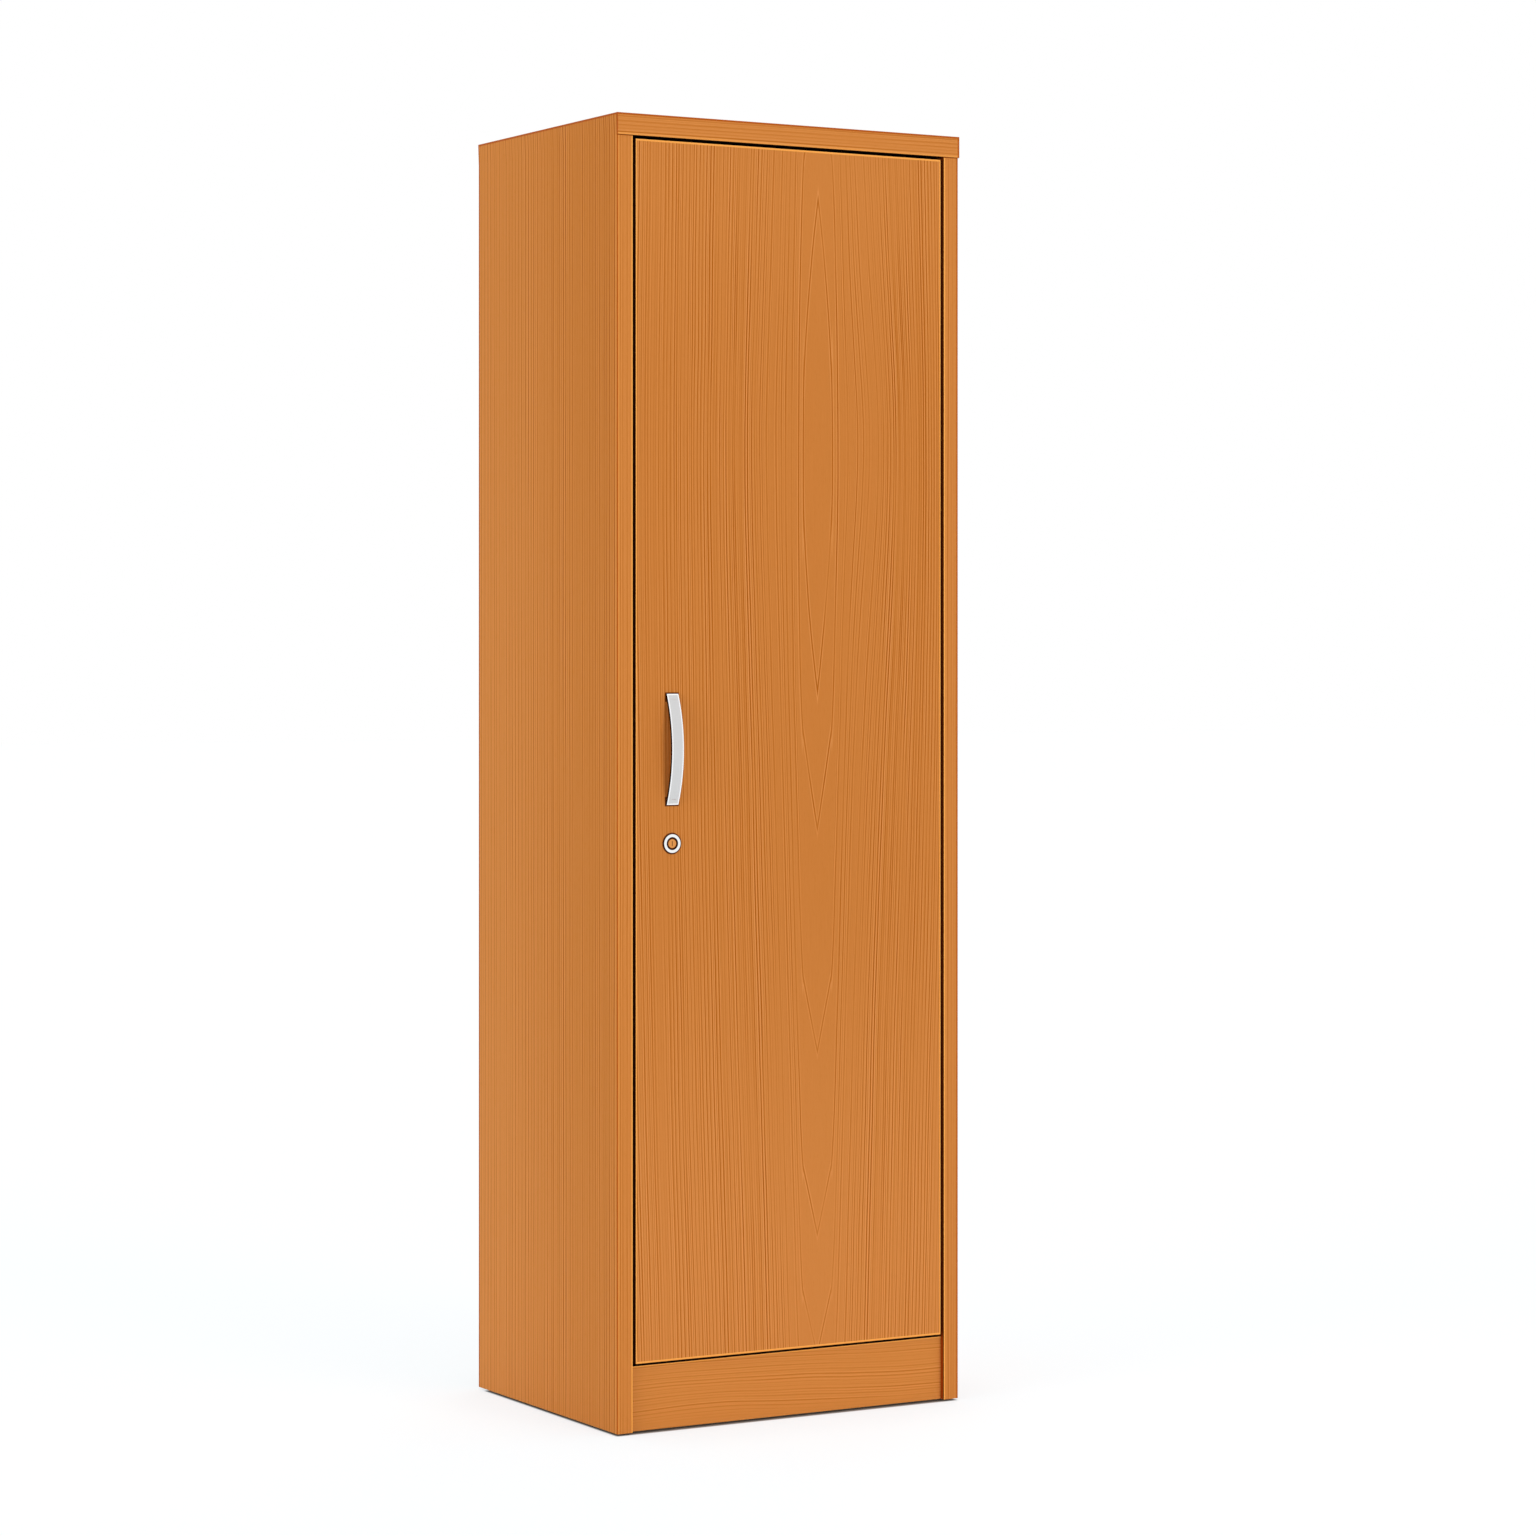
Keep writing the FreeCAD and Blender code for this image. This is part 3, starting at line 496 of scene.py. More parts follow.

# %% [markdown]
# Pale and dark lines run along the edges and round the metal on the door. They are painted light and shade,
# and may not be on the real locker: pale highlights along the edges, dark shade beside them and round the
# metal.
# Thin pieces could be laid there, but a mask on the distance to an edge is enough, as the lines have no
# thickness that shows.

# %% Painted edge light and shade
door_low, door_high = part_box("door_panel")
lock_low, lock_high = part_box("lock_housing")
lock_middle = (lock_low + lock_high) / 2
ring_radius = (lock_high.x - lock_low.x) / 2
bow_low, bow_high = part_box("bow_handle")
bow_middle = (bow_low + bow_high) / 2
gap_shade = tone(28, 9, 3)
painted_edge_highlight = tone(252, 172, 82)
painted_edge_shade = tone(172, 78, 4)
line_core = 0.6
contact_shade = tone(96, 36, 4)
contact_width = 0.0018
contact_force = 0.9
front_skin = 0.0010
foot_tall = 0.010
# The painted highlight or painted shade of each kind of edge line, how far in from the edge it reaches, and
# its force.
edge_kinds = {
    "glint": (painted_edge_highlight, 0.0028, 0.95),
    "frame": (painted_edge_highlight, 0.0020, 0.95),
    "sheen": (painted_edge_highlight, 0.0040, 0.22),
    "gleam": (painted_edge_highlight, 0.0034, 0.45),
    "lip": (gap_shade, 0.0004, 0.95),
    "seam": (painted_edge_shade, 0.0011, 0.90),
    "rim": (painted_edge_shade, 0.0036, 0.85),
    "far_rim": (painted_edge_shade, 0.0040, 0.85),
}
door_lines = dict.fromkeys(("-x", "+x", "-z", "+z"), ("frame",))


def edge_lines(node, lines):
    """A function that paints highlight and shade lines of the given kinds along the edges that lie the given
    ways.
    """
    def light_and_shade(finish, point, colour):
        for way, kinds in lines.items():
            inset = inset_from(point, node, way)
            for kind in kinds:
                shade, width, force = edge_kinds[kind]
                colour = finish.mix(inset.ramp(width, width * line_core) * force, colour, shade)
        return colour
    return light_and_shade


def lock_radius(point):
    """How far a point lies from the lock's axis."""
    across, up = (point[axis] - lock_middle[axis] for axis in (X, Z))
    return (across * across + up * up) ** 0.5


def fitted_door(finish, point, colour):
    """The door's painted edge highlights, and a painted shadow line on its front round the lock's ring and
    the handle's feet.
    """
    colour = edge_lines("door_panel", door_lines)(finish, point, colour)
    beside, above = (abs(point[axis] - bow_middle[axis]) for axis in (X, Z))
    half_wide, half_tall = ((bow_high[axis] - bow_low[axis]) / 2 for axis in (X, Z))
    foot = (beside - half_wide).math("MAXIMUM", above - half_tall)
    foot = foot.math("MAXIMUM", half_tall - foot_tall - above)
    outside = foot.math("MINIMUM", lock_radius(point) - ring_radius)
    contact = outside.ramp(contact_width, contact_width * line_core)
    front = (point[Y] - door_low.y).ramp(front_skin, front_skin / 2)
    return finish.mix(contact * front * contact_force, colour, contact_shade)


print(len(edge_kinds), "kinds of edge line")

# %% [markdown]
# Each board is cut from its own place in the print, so each look has its own seed. Upright boards have their
# grain upright, and the plinth, the shelves, the top and the rear rail have theirs from left to right. The
# sides carry a painted shade that makes them a little darker towards the front and towards the top. The faces
# in the narrow gap round the door carry painted shade, so that it looks nearly black: brown at the sides,
# black above and below.

# %% Boards
side_low, side_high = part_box("left_side_panel")
# Painted shade for the faces that look into the gap round the door.
gap_brown_shade = tone(150, 60, 6)
side_gap = {"from_back": 0.004, "from_front": 0.008}
deep_gap = {"start": 0.030, "full": 0.010}
door_look = {
    "seed": 3.16, "sway": 0.008, "bend": 1.6, "depth": 0.21, "pale": (220, 144, 81),
    "heart": {
        "across": 0.042, "along": 1.355, "half": 0.022, "blend": 0.012, "ring": 0.050,
        "tip_pitch": 0.18, "tip_round": 3.5, "flow": (0.015, 0.100, 0.220), "flow_long": 0.30,
        "push": (0.014, 0.030),
    },
    "fades": ((Z, 0.15, 0.80, 0.12), (Z, 1.45, 1.75, -0.05)),
}
side_look = {
    "seed": 21.0, "stretch": 1.55, "sway": 0.006, "bend": 0.7, "depth": 0.115, "contrast": 0.85,
    "pale": (220, 143, 75), "deep": (160, 83, 8),
    # These fades are painted shade: the side gets darker towards the front and towards the top.
    "fades": ((Y, side_high.y, side_low.y, 0.15), (Z, 0.1, 0.8, 0.07), (Z, 1.0, 1.7, 0.06)),
}
plinth_look = {
    "seed": 43.0, "lean": 0.016, "sway": 0.030, "bend": 2.2, "depth": 0.17, "contrast": 0.48,
    "pale": (220, 143, 76),
}
shelf_look = {"seed": 57.0, "sway": 0.020, "bend": 1.5}
right_look = {**side_look, "seed": 33.0, "contrast": 0.6}
side_lines = {"-y": ("sheen",), "+y": ("far_rim",)}
brown_gap_shade = (door_high.y - side_gap["from_back"], door_low.y + side_gap["from_front"], gap_brown_shade)
black_gap_shade = (door_high.y + deep_gap["start"], door_high.y + deep_gap["full"], gap_shade)
boards = {
    "door_panel": ((X, Z), door_look, fitted_door, (), ()),
    "left_side_panel": ((Y, Z), side_look, side_lines, ("+y", "-z"), (("+x", *brown_gap_shade),)),
    "right_side_panel": ((Y, Z), right_look, side_lines, ("+y", "-z"), (("-x", *brown_gap_shade),)),
    "plinth_board": ((Z, X), plinth_look, {"+z": ("frame", "lip")}, ("-z",), (("+z", *black_gap_shade),)),
    "rear_plinth_rail": ((Z, X), {**plinth_look, "seed": 47.0}, {}, ("-z",), ()),
    "top_panel": ((Y, X), shelf_look, {}, ("+y",), (("-z", *black_gap_shade),)),
    "bottom_panel": ((Y, X), {**shelf_look, "seed": 61.0}, {}, (), ()),
    "hat_shelf": ((Y, X), {**shelf_look, "seed": 67.0}, {}, (), ()),
    "shoe_shelf": ((Y, X), {**shelf_look, "seed": 71.0}, {}, ("+y",), ()),
}
for node, (axes, look, lines, bare, gaps) in boards.items():
    light_and_shade = edge_lines(node, lines) if isinstance(lines, dict) else lines
    dress(node, board_material(node, axes, look, light_and_shade, bare, gaps))
print(len(boards), "boards printed")

# %% [markdown]
# Plastic bands cover the boards' front edges. They carry the same print, with painted light along their
# edges:
# a pale highlight along each edge and a dark shade line beside it. The door's bands are so thin that from
# the front they are all edge: painted pale as a highlight above and below, and dark as shade at the left and
# right. Their flanks could be left to the shade in the gap, but carry painted dark brown shade to the depth
# that shows there, so that the gap looks nearly black.

# %% Edge bands
face_end = 0.0001
face_fade = 0.0004
flank_start = 0.0070
flank_end = 0.0100
flank_shade = tone(64, 27, 9)
first_band_seed = 80.0
band_seed_step = 3


def door_edge(node, face):
    """Paints a door band: its face pale as highlight or dark as shade, its flank dark as shade to a depth in
    the gap.
    """
    def light_and_shade(finish, point, colour):
        inset = inset_from(point, node, "-y")
        painted_flank = finish.mix(inset.ramp(face_end, face_fade), face, flank_shade)
        return finish.mix(inset.ramp(flank_end, flank_start), colour, painted_flank)
    return light_and_shade


end_lines = {"+z": ("rim",), "+y": ("far_rim",)}
bands = {
    "left_side_edge_band": ((X, Z), {"+x": ("glint", "lip"), "-x": ("sheen", "seam"), "+z": ("seam",)}),
    "right_side_edge_band": ((X, Z), {"-x": ("glint", "lip"), "+x": ("sheen", "rim"), "+z": ("seam",)}),
    "top_front_edge_band": (
        (Z, X), {"-z": ("gleam", "lip"), "+z": ("rim",), "-x": ("seam",), "+x": ("sheen", "rim")}),
    "top_left_end_band": ((Y, Z), end_lines), "top_right_end_band": ((Y, Z), end_lines),
    "hat_shelf_edge_band": ((Z, X), {"+z": ("glint",), "-z": ("glint",)}),
    "shoe_shelf_edge_band": ((Z, X), {"+z": ("glint",), "-z": ("glint",)}),
    "door_left_edge_band": ((Y, Z), gap_shade), "door_right_edge_band": ((Y, Z), gap_shade),
    "door_top_edge_band": ((Y, X), painted_edge_highlight), "door_bottom_edge_band": ((Y, X), painted_edge_highlight),
}
for number, (node, (axes, lines)) in enumerate(bands.items()):
    seed = first_band_seed + number * band_seed_step
    look = {"seed": seed, "contrast": 0.5, "sway": 0.006, "depth": 0.24}
    if node == "top_left_end_band":
        look = side_look
    light_and_shade = edge_lines(node, lines) if isinstance(lines, dict) else door_edge(node, lines)
    dress(node, board_material(node, axes, look, light_and_shade))
print(len(bands), "bands printed")

# %% [markdown]
# The back is thin fibreboard in grooves. Inside it carries a plain print, and its rear is bare brown board
# with fine fibres. One material does both, because the rear is the face at the board's greatest depth.

# %% Back board
back_look = {"seed": 91.0, "contrast": 0.7}
back_pale = (226, 158, 96)
fibre_rate = 500.0
fibre_weight = 0.7
cloud_rate = 9.0
cloud_seed = 2.0
back_material, finish = new_material("back_board")
point = finish.place()
dark, pores = printed_grain(finish, point[X], point[Z], back_look)
inside = finish.screen_mix(dark, back_pale, beech_deep)
fibres = finish.speckle(point, (fibre_rate,) * 3, detail=5.0, roughness=0.7)
clouds = finish.noise(point[X] * cloud_rate, point[Z] * cloud_rate, cloud_seed)
mottle = fibres * fibre_weight + clouds * (1 - fibre_weight)
brown = finish.mix(mottle, tone(98, 66, 40), tone(158, 116, 74))
rear_face = end_of(point, "back_panel", "+y")
finish.surface(
    Base_Color=finish.mix(rear_face, inside, brown), Roughness=rear_face.between(0.5, 0.8),
    Specular_IOR_Level=0.2, Normal=finish.bump(fibres, strength=0.12, distance=0.0003),
)
dress("back_panel", back_material)
print("the back is printed inside and bare behind")

# %% [markdown]
# The fittings are metal: nickel-plated hinges, a chrome rail, cast zinc brackets and plated screws. A metal's
# look is its colour, how rough it is, and faint marks of how it was made. One function gives them all, with
# marks that are stretched along one axis for drawn or brushed metal and even for cast metal.

# %% Metals
mark_weight = 0.4
haze_weight = 0.3
haze_rate = 25.0
dull_share = 0.72


def metal(name, colour, rough, grain=(60.0,) * 3, marks=0.10):
    """A plated metal with faint marks. The grain is how often the marks change along each axis."""
    material, finish = new_material(name)
    point = finish.place()
    mark = finish.speckle(point, grain, detail=4.0, roughness=0.6)
    haze = finish.speckle(point, (haze_rate,) * 3)
    dull = tuple(part * dull_share for part in colour[:3]) + (1.0,)
    finish.surface(
        Base_Color=finish.mix(mark * mark_weight + haze * haze_weight, colour, dull), Metallic=1.0,
        Roughness=mark * marks + haze * marks + rough,
        Normal=finish.bump(mark, strength=0.03, distance=0.0001),
    )
    return material


hinge_nickel = metal("hinge_nickel", tone(214, 212, 207), rough=0.20)
plated_screw = metal("plated_screw", tone(206, 206, 203), rough=0.24, grain=(300.0,) * 3)
rail_chrome = metal("rail_chrome", tone(226, 227, 229), rough=0.06, grain=(8.0, 400.0, 400.0), marks=0.05)
cast_zinc = metal("cast_zinc", tone(190, 190, 188), rough=0.34, grain=(500.0,) * 3)
lock_steel = metal("lock_steel", tone(200, 199, 195), rough=0.26, grain=(120.0,) * 3)
metal_nodes = {
    "shelf_pins": hinge_nickel, "hinge_pins": hinge_nickel, "lock_strike": hinge_nickel,
    "coat_rail": rail_chrome, "rail_brackets": cast_zinc, "cam_housings": cast_zinc, "cam_bolts": cast_zinc,
    "lock_nut": lock_steel, "lock_cam": lock_steel,
}
for place in ("upper", "middle", "lower"):
    for part in ("cup", "arm", "plate"):
        metal_nodes[f"{place}_hinge_{part}"] = hinge_nickel
for node, material in metal_nodes.items():
    dress(node, material)
print("metal on", len(metal_nodes), "nodes")

# %% [markdown]
# The dowels are raw beech, with their own pale wood, and the floor glides are grey moulded plastic with the
# fine sparkle of a spark-eroded mould. Both keep their CAD shape.

# %% Dowels and floor glides
flute_rates = (30.0, 900.0, 900.0)
sparkle_rates = (2500.0,) * 3
dowel_material, finish = new_material("raw_beech")
flutes = finish.speckle(finish.place(), flute_rates)
raw_beech = finish.mix(flutes, tone(196, 158, 112), tone(226, 194, 150))
finish.surface(Base_Color=raw_beech, Roughness=flutes.between(0.6, 0.8))
dress("dowels", dowel_material)

glide_material, finish = new_material("glide_plastic")
sparkle = finish.speckle(finish.place(), sparkle_rates, detail=3.0)
finish.surface(
    Base_Color=finish.mix(sparkle, tone(52, 51, 50), tone(70, 69, 67)), Roughness=sparkle.between(0.4, 0.6),
    Normal=finish.bump(sparkle, strength=0.2, distance=0.0001),
)
dress("floor_glides", glide_material)
print("dowels and glides dressed")

# %% [markdown]
# New pieces are modelled with Blender's own operators, as by hand: a primitive, then edit mode. An operator
# works on what is selected, so each step first selects faces or edges by a test on their place. These
# helpers open a primitive for editing, select, cut, and close it with smooth shading.

# %% Modelling helpers
near = 1e-5
flat_enough = 0.99


def begin(add, **options):
    """Adds a primitive with nothing else selected, puts its place into its mesh and opens it for editing."""
    bpy.ops.object.select_all(action="DESELECT")
    add(**options)
    bpy.ops.object.transform_apply(location=True, rotation=True, scale=True)
    bpy.ops.object.mode_set(mode="EDIT")


def select_only(piece):
    """Makes a piece the one that operators work on."""
    bpy.ops.object.select_all(action="DESELECT")
    piece.select_set(True)
    bpy.context.view_layer.objects.active = piece


def choose(kind, test):
    """Selects just the faces or edges that pass the test, and says how many there are."""
    bpy.ops.mesh.select_mode(type="FACE" if kind == "faces" else "EDGE")
    bpy.ops.mesh.select_all(action="DESELECT")
    mesh = bmesh.from_edit_mesh(bpy.context.object.data)
    found = [part for part in getattr(mesh, kind) if test(part)]
    for part in found:
        part.select_set(True)
    mesh.select_flush_mode()
    bmesh.update_edit_mesh(bpy.context.object.data)
    return len(found)


def extrude(move):
    bpy.ops.mesh.extrude_region_move(TRANSFORM_OT_translate={"value": move})


def bevel(offset, segments):
    """Rounds the selected edges."""
    bpy.ops.mesh.bevel(offset=offset, segments=segments, affect="EDGES")


def flat_face(axis, way, level, middle, within):
    """A test for faces that look one way along an axis, at a level and within a radius of the middle."""
    def test(face):
        level_with = abs(face.calc_center_median()[axis] - level) < near
        inside = max(off_axis(vertex, axis, middle) for vertex in face.verts) < within + near
        return level_with and inside and face.normal[axis] * way > flat_enough
    return test


def rim(axis, level, middle, radius):
    """A test for the edges of a circle round an axis."""
    def test(edge):
        flat = all(abs(vertex.co[axis] - level) < near for vertex in edge.verts)
        return flat and all(abs(off_axis(vertex, axis, middle) - radius) < near for vertex in edge.verts)
    return test


def field(axis, level, middle, halves):
    """A test for the flat faces at a level of an axis that lie within half a width of the middle."""
    def test(face):
        place = face.calc_center_median()
        offset = place - Vector(middle)
        inside = all(abs(offset[side]) < half for side, half in halves.items())
        return inside and abs(place[axis] - level) < near and abs(face.normal[axis]) > flat_enough
    return test


def off_axis(vertex, axis, middle):
    """How far a point is from a line through the middle along an axis."""
    offset = vertex.co - Vector(middle)
    offset[axis] = 0
    return offset.length


def score(test, middle, halves):
    """Cuts the faces that pass the test with two planes across each axis, half a width from the middle."""
    for axis, half in halves.items():
        for way in (-1, 1):
            normal = Vector((0, 0, 0))
            normal[axis] = way
            choose("faces", test)
            bpy.ops.mesh.bisect(plane_co=Vector(middle) + normal * half, plane_no=normal)


def finished(name, smooth_angle=35.0):
    """Closes the piece: doubles merged, normals outwards, smooth where it is round."""
    bpy.ops.mesh.select_all(action="SELECT")
    bpy.ops.mesh.remove_doubles(threshold=near)
    bpy.ops.mesh.normals_make_consistent(inside=False)
    bpy.ops.object.mode_set(mode="OBJECT")
    bpy.ops.object.shade_smooth_by_angle(angle=math.radians(smooth_angle))
    piece = bpy.context.object
    piece.name = name
    piece.data.name = name
    print(name, "has", len(piece.data.polygons), "faces")
    return piece


def fit_out(piece, material, body, node):
    """The finish, the body that the piece moves with, and the CAD node that it stands for."""
    piece.data.materials.clear()
    piece.data.materials.append(material)
    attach(piece, body)
    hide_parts(node)


print("points closer than", near, "m count as one")

# %% [markdown]
# The top's left end stands a millimetre proud of the side, but no step shows there, because the end band is
# planed down to nothing at its lower edge. It is a box like the band, with its lower outer edge moved in to
# the board, and its upper outer edge rounded.

# %% Feathered end band
end_low, end_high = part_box("top_left_end_band")
feather = 0.00003
end_round = 0.0005


def outer_edge(level):
    """A test for the long edge of the end band's outer face at a height."""
    def test(edge):
        places = [vertex.co for vertex in edge.verts]
        return all(math.hypot(place.x - end_low.x, place.z - level) < near for place in places)
    return test


end_middle = (end_low + end_high) / 2
begin(bpy.ops.mesh.primitive_cube_add, size=1.0, location=end_middle)
bpy.ops.mesh.select_all(action="SELECT")
bpy.ops.transform.resize(value=end_high - end_low, center_override=end_middle)
print("lower outer edge:", choose("edges", outer_edge(end_low.z)))
bpy.ops.transform.translate(value=(end_high.x - end_low.x - feather, 0, 0))
print("upper outer edge:", choose("edges", outer_edge(end_high.z)))
bevel(end_round, segments=4)
end_band = finished("top_end_feathered")
band_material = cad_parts["top_left_end_band"].data.materials[0]
fit_out(end_band, band_material, "carcass", "top_left_end_band")

# %% [markdown]
# The handle is a flat metal strip bowed away from the door, with a satin face and a polished rounded border.
# It could be a bent box, but a spin gives a true arc: the strip's section turns about the arc's middle, past
# both ends. Then the ends are cut square and all is cut off at the door. The front edges are bevelled last,
# so that the border runs round the corners.

# %% Bow handle
door_face = door_low.y
bow_half = (bow_high.z - bow_low.z) / 2
bow_wide = bow_high.x - bow_low.x
bow_thick = 0.0032
bow_end_height = 0.0020
bow_border = 0.0010
bow_steps = 64
bow_overrun = 1.2
crown = door_face - bow_low.y - bow_end_height
bow_radius = (bow_half ** 2 + crown ** 2) / (2 * crown)
bow_centre = Vector((bow_middle.x, bow_low.y + bow_radius, bow_middle.z))
bow_turn = math.asin(bow_half / bow_radius) * bow_overrun

section = Vector((bow_middle.x, bow_low.y + bow_thick / 2, bow_middle.z))
begin(bpy.ops.mesh.primitive_plane_add, size=1.0, location=section)
bpy.ops.transform.resize(value=(bow_wide, bow_thick, 1.0), center_override=section)
bpy.ops.mesh.delete(type="ONLY_FACE")
bpy.ops.mesh.select_all(action="SELECT")
bpy.ops.transform.rotate(value=bow_turn, orient_axis="X", center_override=bow_centre)
bpy.ops.mesh.spin(steps=bow_steps, angle=2 * bow_turn, center=bow_centre, axis=(-1, 0, 0))
heights = [vertex.co.z for vertex in bmesh.from_edit_mesh(bpy.context.object.data).verts]
print("spun from", round(min(heights), 4), "to", round(max(heights), 4))
ends = {(0, door_face, 0): (0, 1, 0), (0, 0, bow_high.z): (0, 0, 1), (0, 0, bow_low.z): (0, 0, -1)}
for place, way in ends.items():
    bpy.ops.mesh.select_all(action="SELECT")
    bpy.ops.mesh.bisect(plane_co=place, plane_no=way, clear_outer=True, use_fill=True)


def on_border(edge):
    """Whether an edge runs along the outline of the handle's front face."""
    first, second = (vertex.co for vertex in edge.verts)
    for co in (first, second):
        if abs(math.hypot(co.y - bow_centre.y, co.z - bow_centre.z) - bow_radius) > near:
            return False
    along_side = abs(first.x - second.x) < near
    across_tip = all(abs(abs(co.z - bow_middle.z) - bow_half) < near for co in (first, second))
    return along_side or across_tip


print("border edges:", choose("edges", on_border))
bevel(bow_border, segments=4)
handle = finished("bow_handle_strip")

# %% [markdown]
# Behind the strip a round boss takes each screw. Each is a cylinder that ends inside the strip, and a Boolean
# modifier joins it on, so that the handle stays one closed piece.

# %% Handle bosses
boss_radius = 0.0045
boss_sides = 48
boss_reach = 0.064
boss_drop = bow_radius - math.sqrt(bow_radius ** 2 - boss_reach ** 2)
boss_tall = door_face - bow_low.y - boss_drop - bow_thick / 2
for way in (-1, 1):
    middle = (bow_middle.x, door_face - boss_tall / 2, bow_middle.z + way * boss_reach)
    begin(
        bpy.ops.mesh.primitive_cylinder_add, vertices=boss_sides, radius=boss_radius, depth=boss_tall,
        location=middle, rotation=(math.pi / 2, 0, 0),
    )
    boss = finished("handle_boss")
    select_only(handle)
    union = handle.modifiers.new("boss", "BOOLEAN")
    union.operation = "UNION"
    union.object = boss
    bpy.ops.object.modifier_apply(modifier=union.name)
    bpy.data.objects.remove(boss)
print("handle with bosses:", len(handle.data.polygons), "faces")

# %% [markdown]
# In the photograph the strip has a satin face, a bright border and a dark outline, though the picture's
# sharpening may have a share in the last two. The satin is a metal of middling roughness with fine brush
# lines. The border could be a piece of its own, but a mask on the distance to the outline makes it smoother
# and paler without a seam. The flanks are painted dark.

# %% Handle finish
polish_width = 0.0022
polish_blur = 0.15
flank_depth = 0.0005
brush_rates = (120.0, 2500.0, 2500.0)
satin_rough = 0.34
polish_gain = 0.16
brush_rough = 0.06
satin_material, finish = new_material("satin_handle")
point = finish.place()
brush = finish.speckle(point, brush_rates, detail=3.0)
side_inset = bow_wide / 2 - abs(point[X] - bow_middle.x)
tip_inset = bow_half - abs(point[Z] - bow_middle.z)
inset = side_inset.math("MINIMUM", tip_inset)
# The border is smoother metal, and its white is in part a painted highlight. The dark flanks are painted
# shade.
border = inset.ramp(polish_width * (1 + polish_blur), polish_width * (1 - polish_blur))
painted_flank = inset.math("LESS_THAN", flank_depth)
satin = finish.mix(brush, tone(210, 210, 210), tone(222, 222, 222))
strip = finish.mix(border, satin, tone(255, 255, 255))
finish.surface(
    Base_Color=finish.mix(painted_flank, strip, tone(40, 18, 8)), Metallic=1.0,
    Roughness=border * -polish_gain + brush * brush_rough + satin_rough,
    Normal=finish.bump(brush * (1 - border), strength=0.05, distance=0.0001),
)
fit_out(handle, satin_material, "door", "bow_handle")
print("handle finished")

# %% [markdown]
# The lock sits in the door in a plated ring with a barrel behind it. It is a turned part, so it could be a
# profile spun round, but a cylinder is quicker to read: its front is inset and pushed in for the plug's
# seat, inset again for the bore, and the rims are bevelled like polished lips. The ring in the photograph
# looks flatter than the CAD one, so its face and the plug's are set back a little.

# %% Lock ring
ring_drop = 0.0014
ring_face = lock_low.y + ring_drop
ring_tall = door_face - ring_face
barrel_radius = 0.0095
seat_radius = 0.0081
seat_depth = 0.0025
bore_radius = 0.0061
lip = 0.0008
seat_lip = lip / 3
round_sides = 96

begin(
    bpy.ops.mesh.primitive_cylinder_add, vertices=round_sides, radius=ring_radius, depth=ring_tall,
    location=(lock_middle.x, door_face - ring_tall / 2, lock_middle.z), rotation=(math.pi / 2, 0, 0),
)
choose("faces", flat_face(Y, -1, ring_face, lock_middle, ring_radius))
bpy.ops.mesh.inset(thickness=ring_radius - seat_radius)
extrude((0, seat_depth, 0))
bpy.ops.mesh.inset(thickness=seat_radius - bore_radius)
extrude((0, lock_high.y - ring_face - seat_depth, 0))
bpy.ops.mesh.delete(type="FACE")
choose("faces", flat_face(Y, 1, door_face, lock_middle, ring_radius))
bpy.ops.mesh.inset(thickness=ring_radius - barrel_radius)
extrude((0, lock_high.y - door_face, 0))
bpy.ops.mesh.inset(thickness=barrel_radius - bore_radius)
bpy.ops.mesh.delete(type="FACE")
print("outer lip:", choose("edges", rim(Y, ring_face, lock_middle, ring_radius)), "edges")
bevel(lip, segments=5)
print("seat lip:", choose("edges", rim(Y, ring_face, lock_middle, seat_radius)), "edges")
bevel(seat_lip, segments=3)
lock_ring = finished("lock_ring")

# %% [markdown]
# The ring looks like polished nickel. Painted shade darkens the colour in two hairlines: where the ring meets
# the door, and at the plug's seat.

# %% Lock ring finish
foot_shade_width = 0.0005
seat_shade_full = 0.0006
seat_shade_reach = 0.0010
swirl_rate = 3000.0
swirl_seed = 4.0
nickel_material, finish = new_material("lock_nickel")
radius = lock_radius(finish.place())
swirl = finish.noise(radius * swirl_rate, 0.0, swirl_seed)
# Painted shade: a dark hairline round the ring's foot and another at the plug's seat.
foot_shade_line = radius.ramp(ring_radius - foot_shade_width * 2, ring_radius - foot_shade_width)
seat_shade_line = radius.ramp(seat_radius + seat_shade_reach, seat_radius + seat_shade_full)
plate = finish.mix(swirl, tone(242, 242, 241), tone(250, 250, 249))
finish.surface(
    Base_Color=finish.mix(foot_shade_line.math("MAXIMUM", seat_shade_line), plate, tone(34, 14, 6)), Metallic=1.0,
    Roughness=swirl.between(0.16, 0.24),
)
fit_out(lock_ring, nickel_material, "door", "lock_housing")
print("lock ring finished")

# %% [markdown]
# The plug is the brass core that the key turns. Its round head is a cylinder, and the keyway is cut by four
# planes across its face: the narrow middle field is then pushed in. Behind the head follow the core and the
# square that carries the lock's cam.

# %% Lock plug
plug_low, plug_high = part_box("lock_plug")
plug_face = plug_low.y + ring_drop
head_radius = 0.0080
head_tall = 0.0020
core_radius = 0.0060
keyway = {X: 0.0004, Z: 0.0034}
keyway_deep = 0.0120
drive = {X: 0.0040, Z: 0.0040}
drive_tall = 0.0025
face_rim = 0.0006
head_bevel = face_rim * 0.7

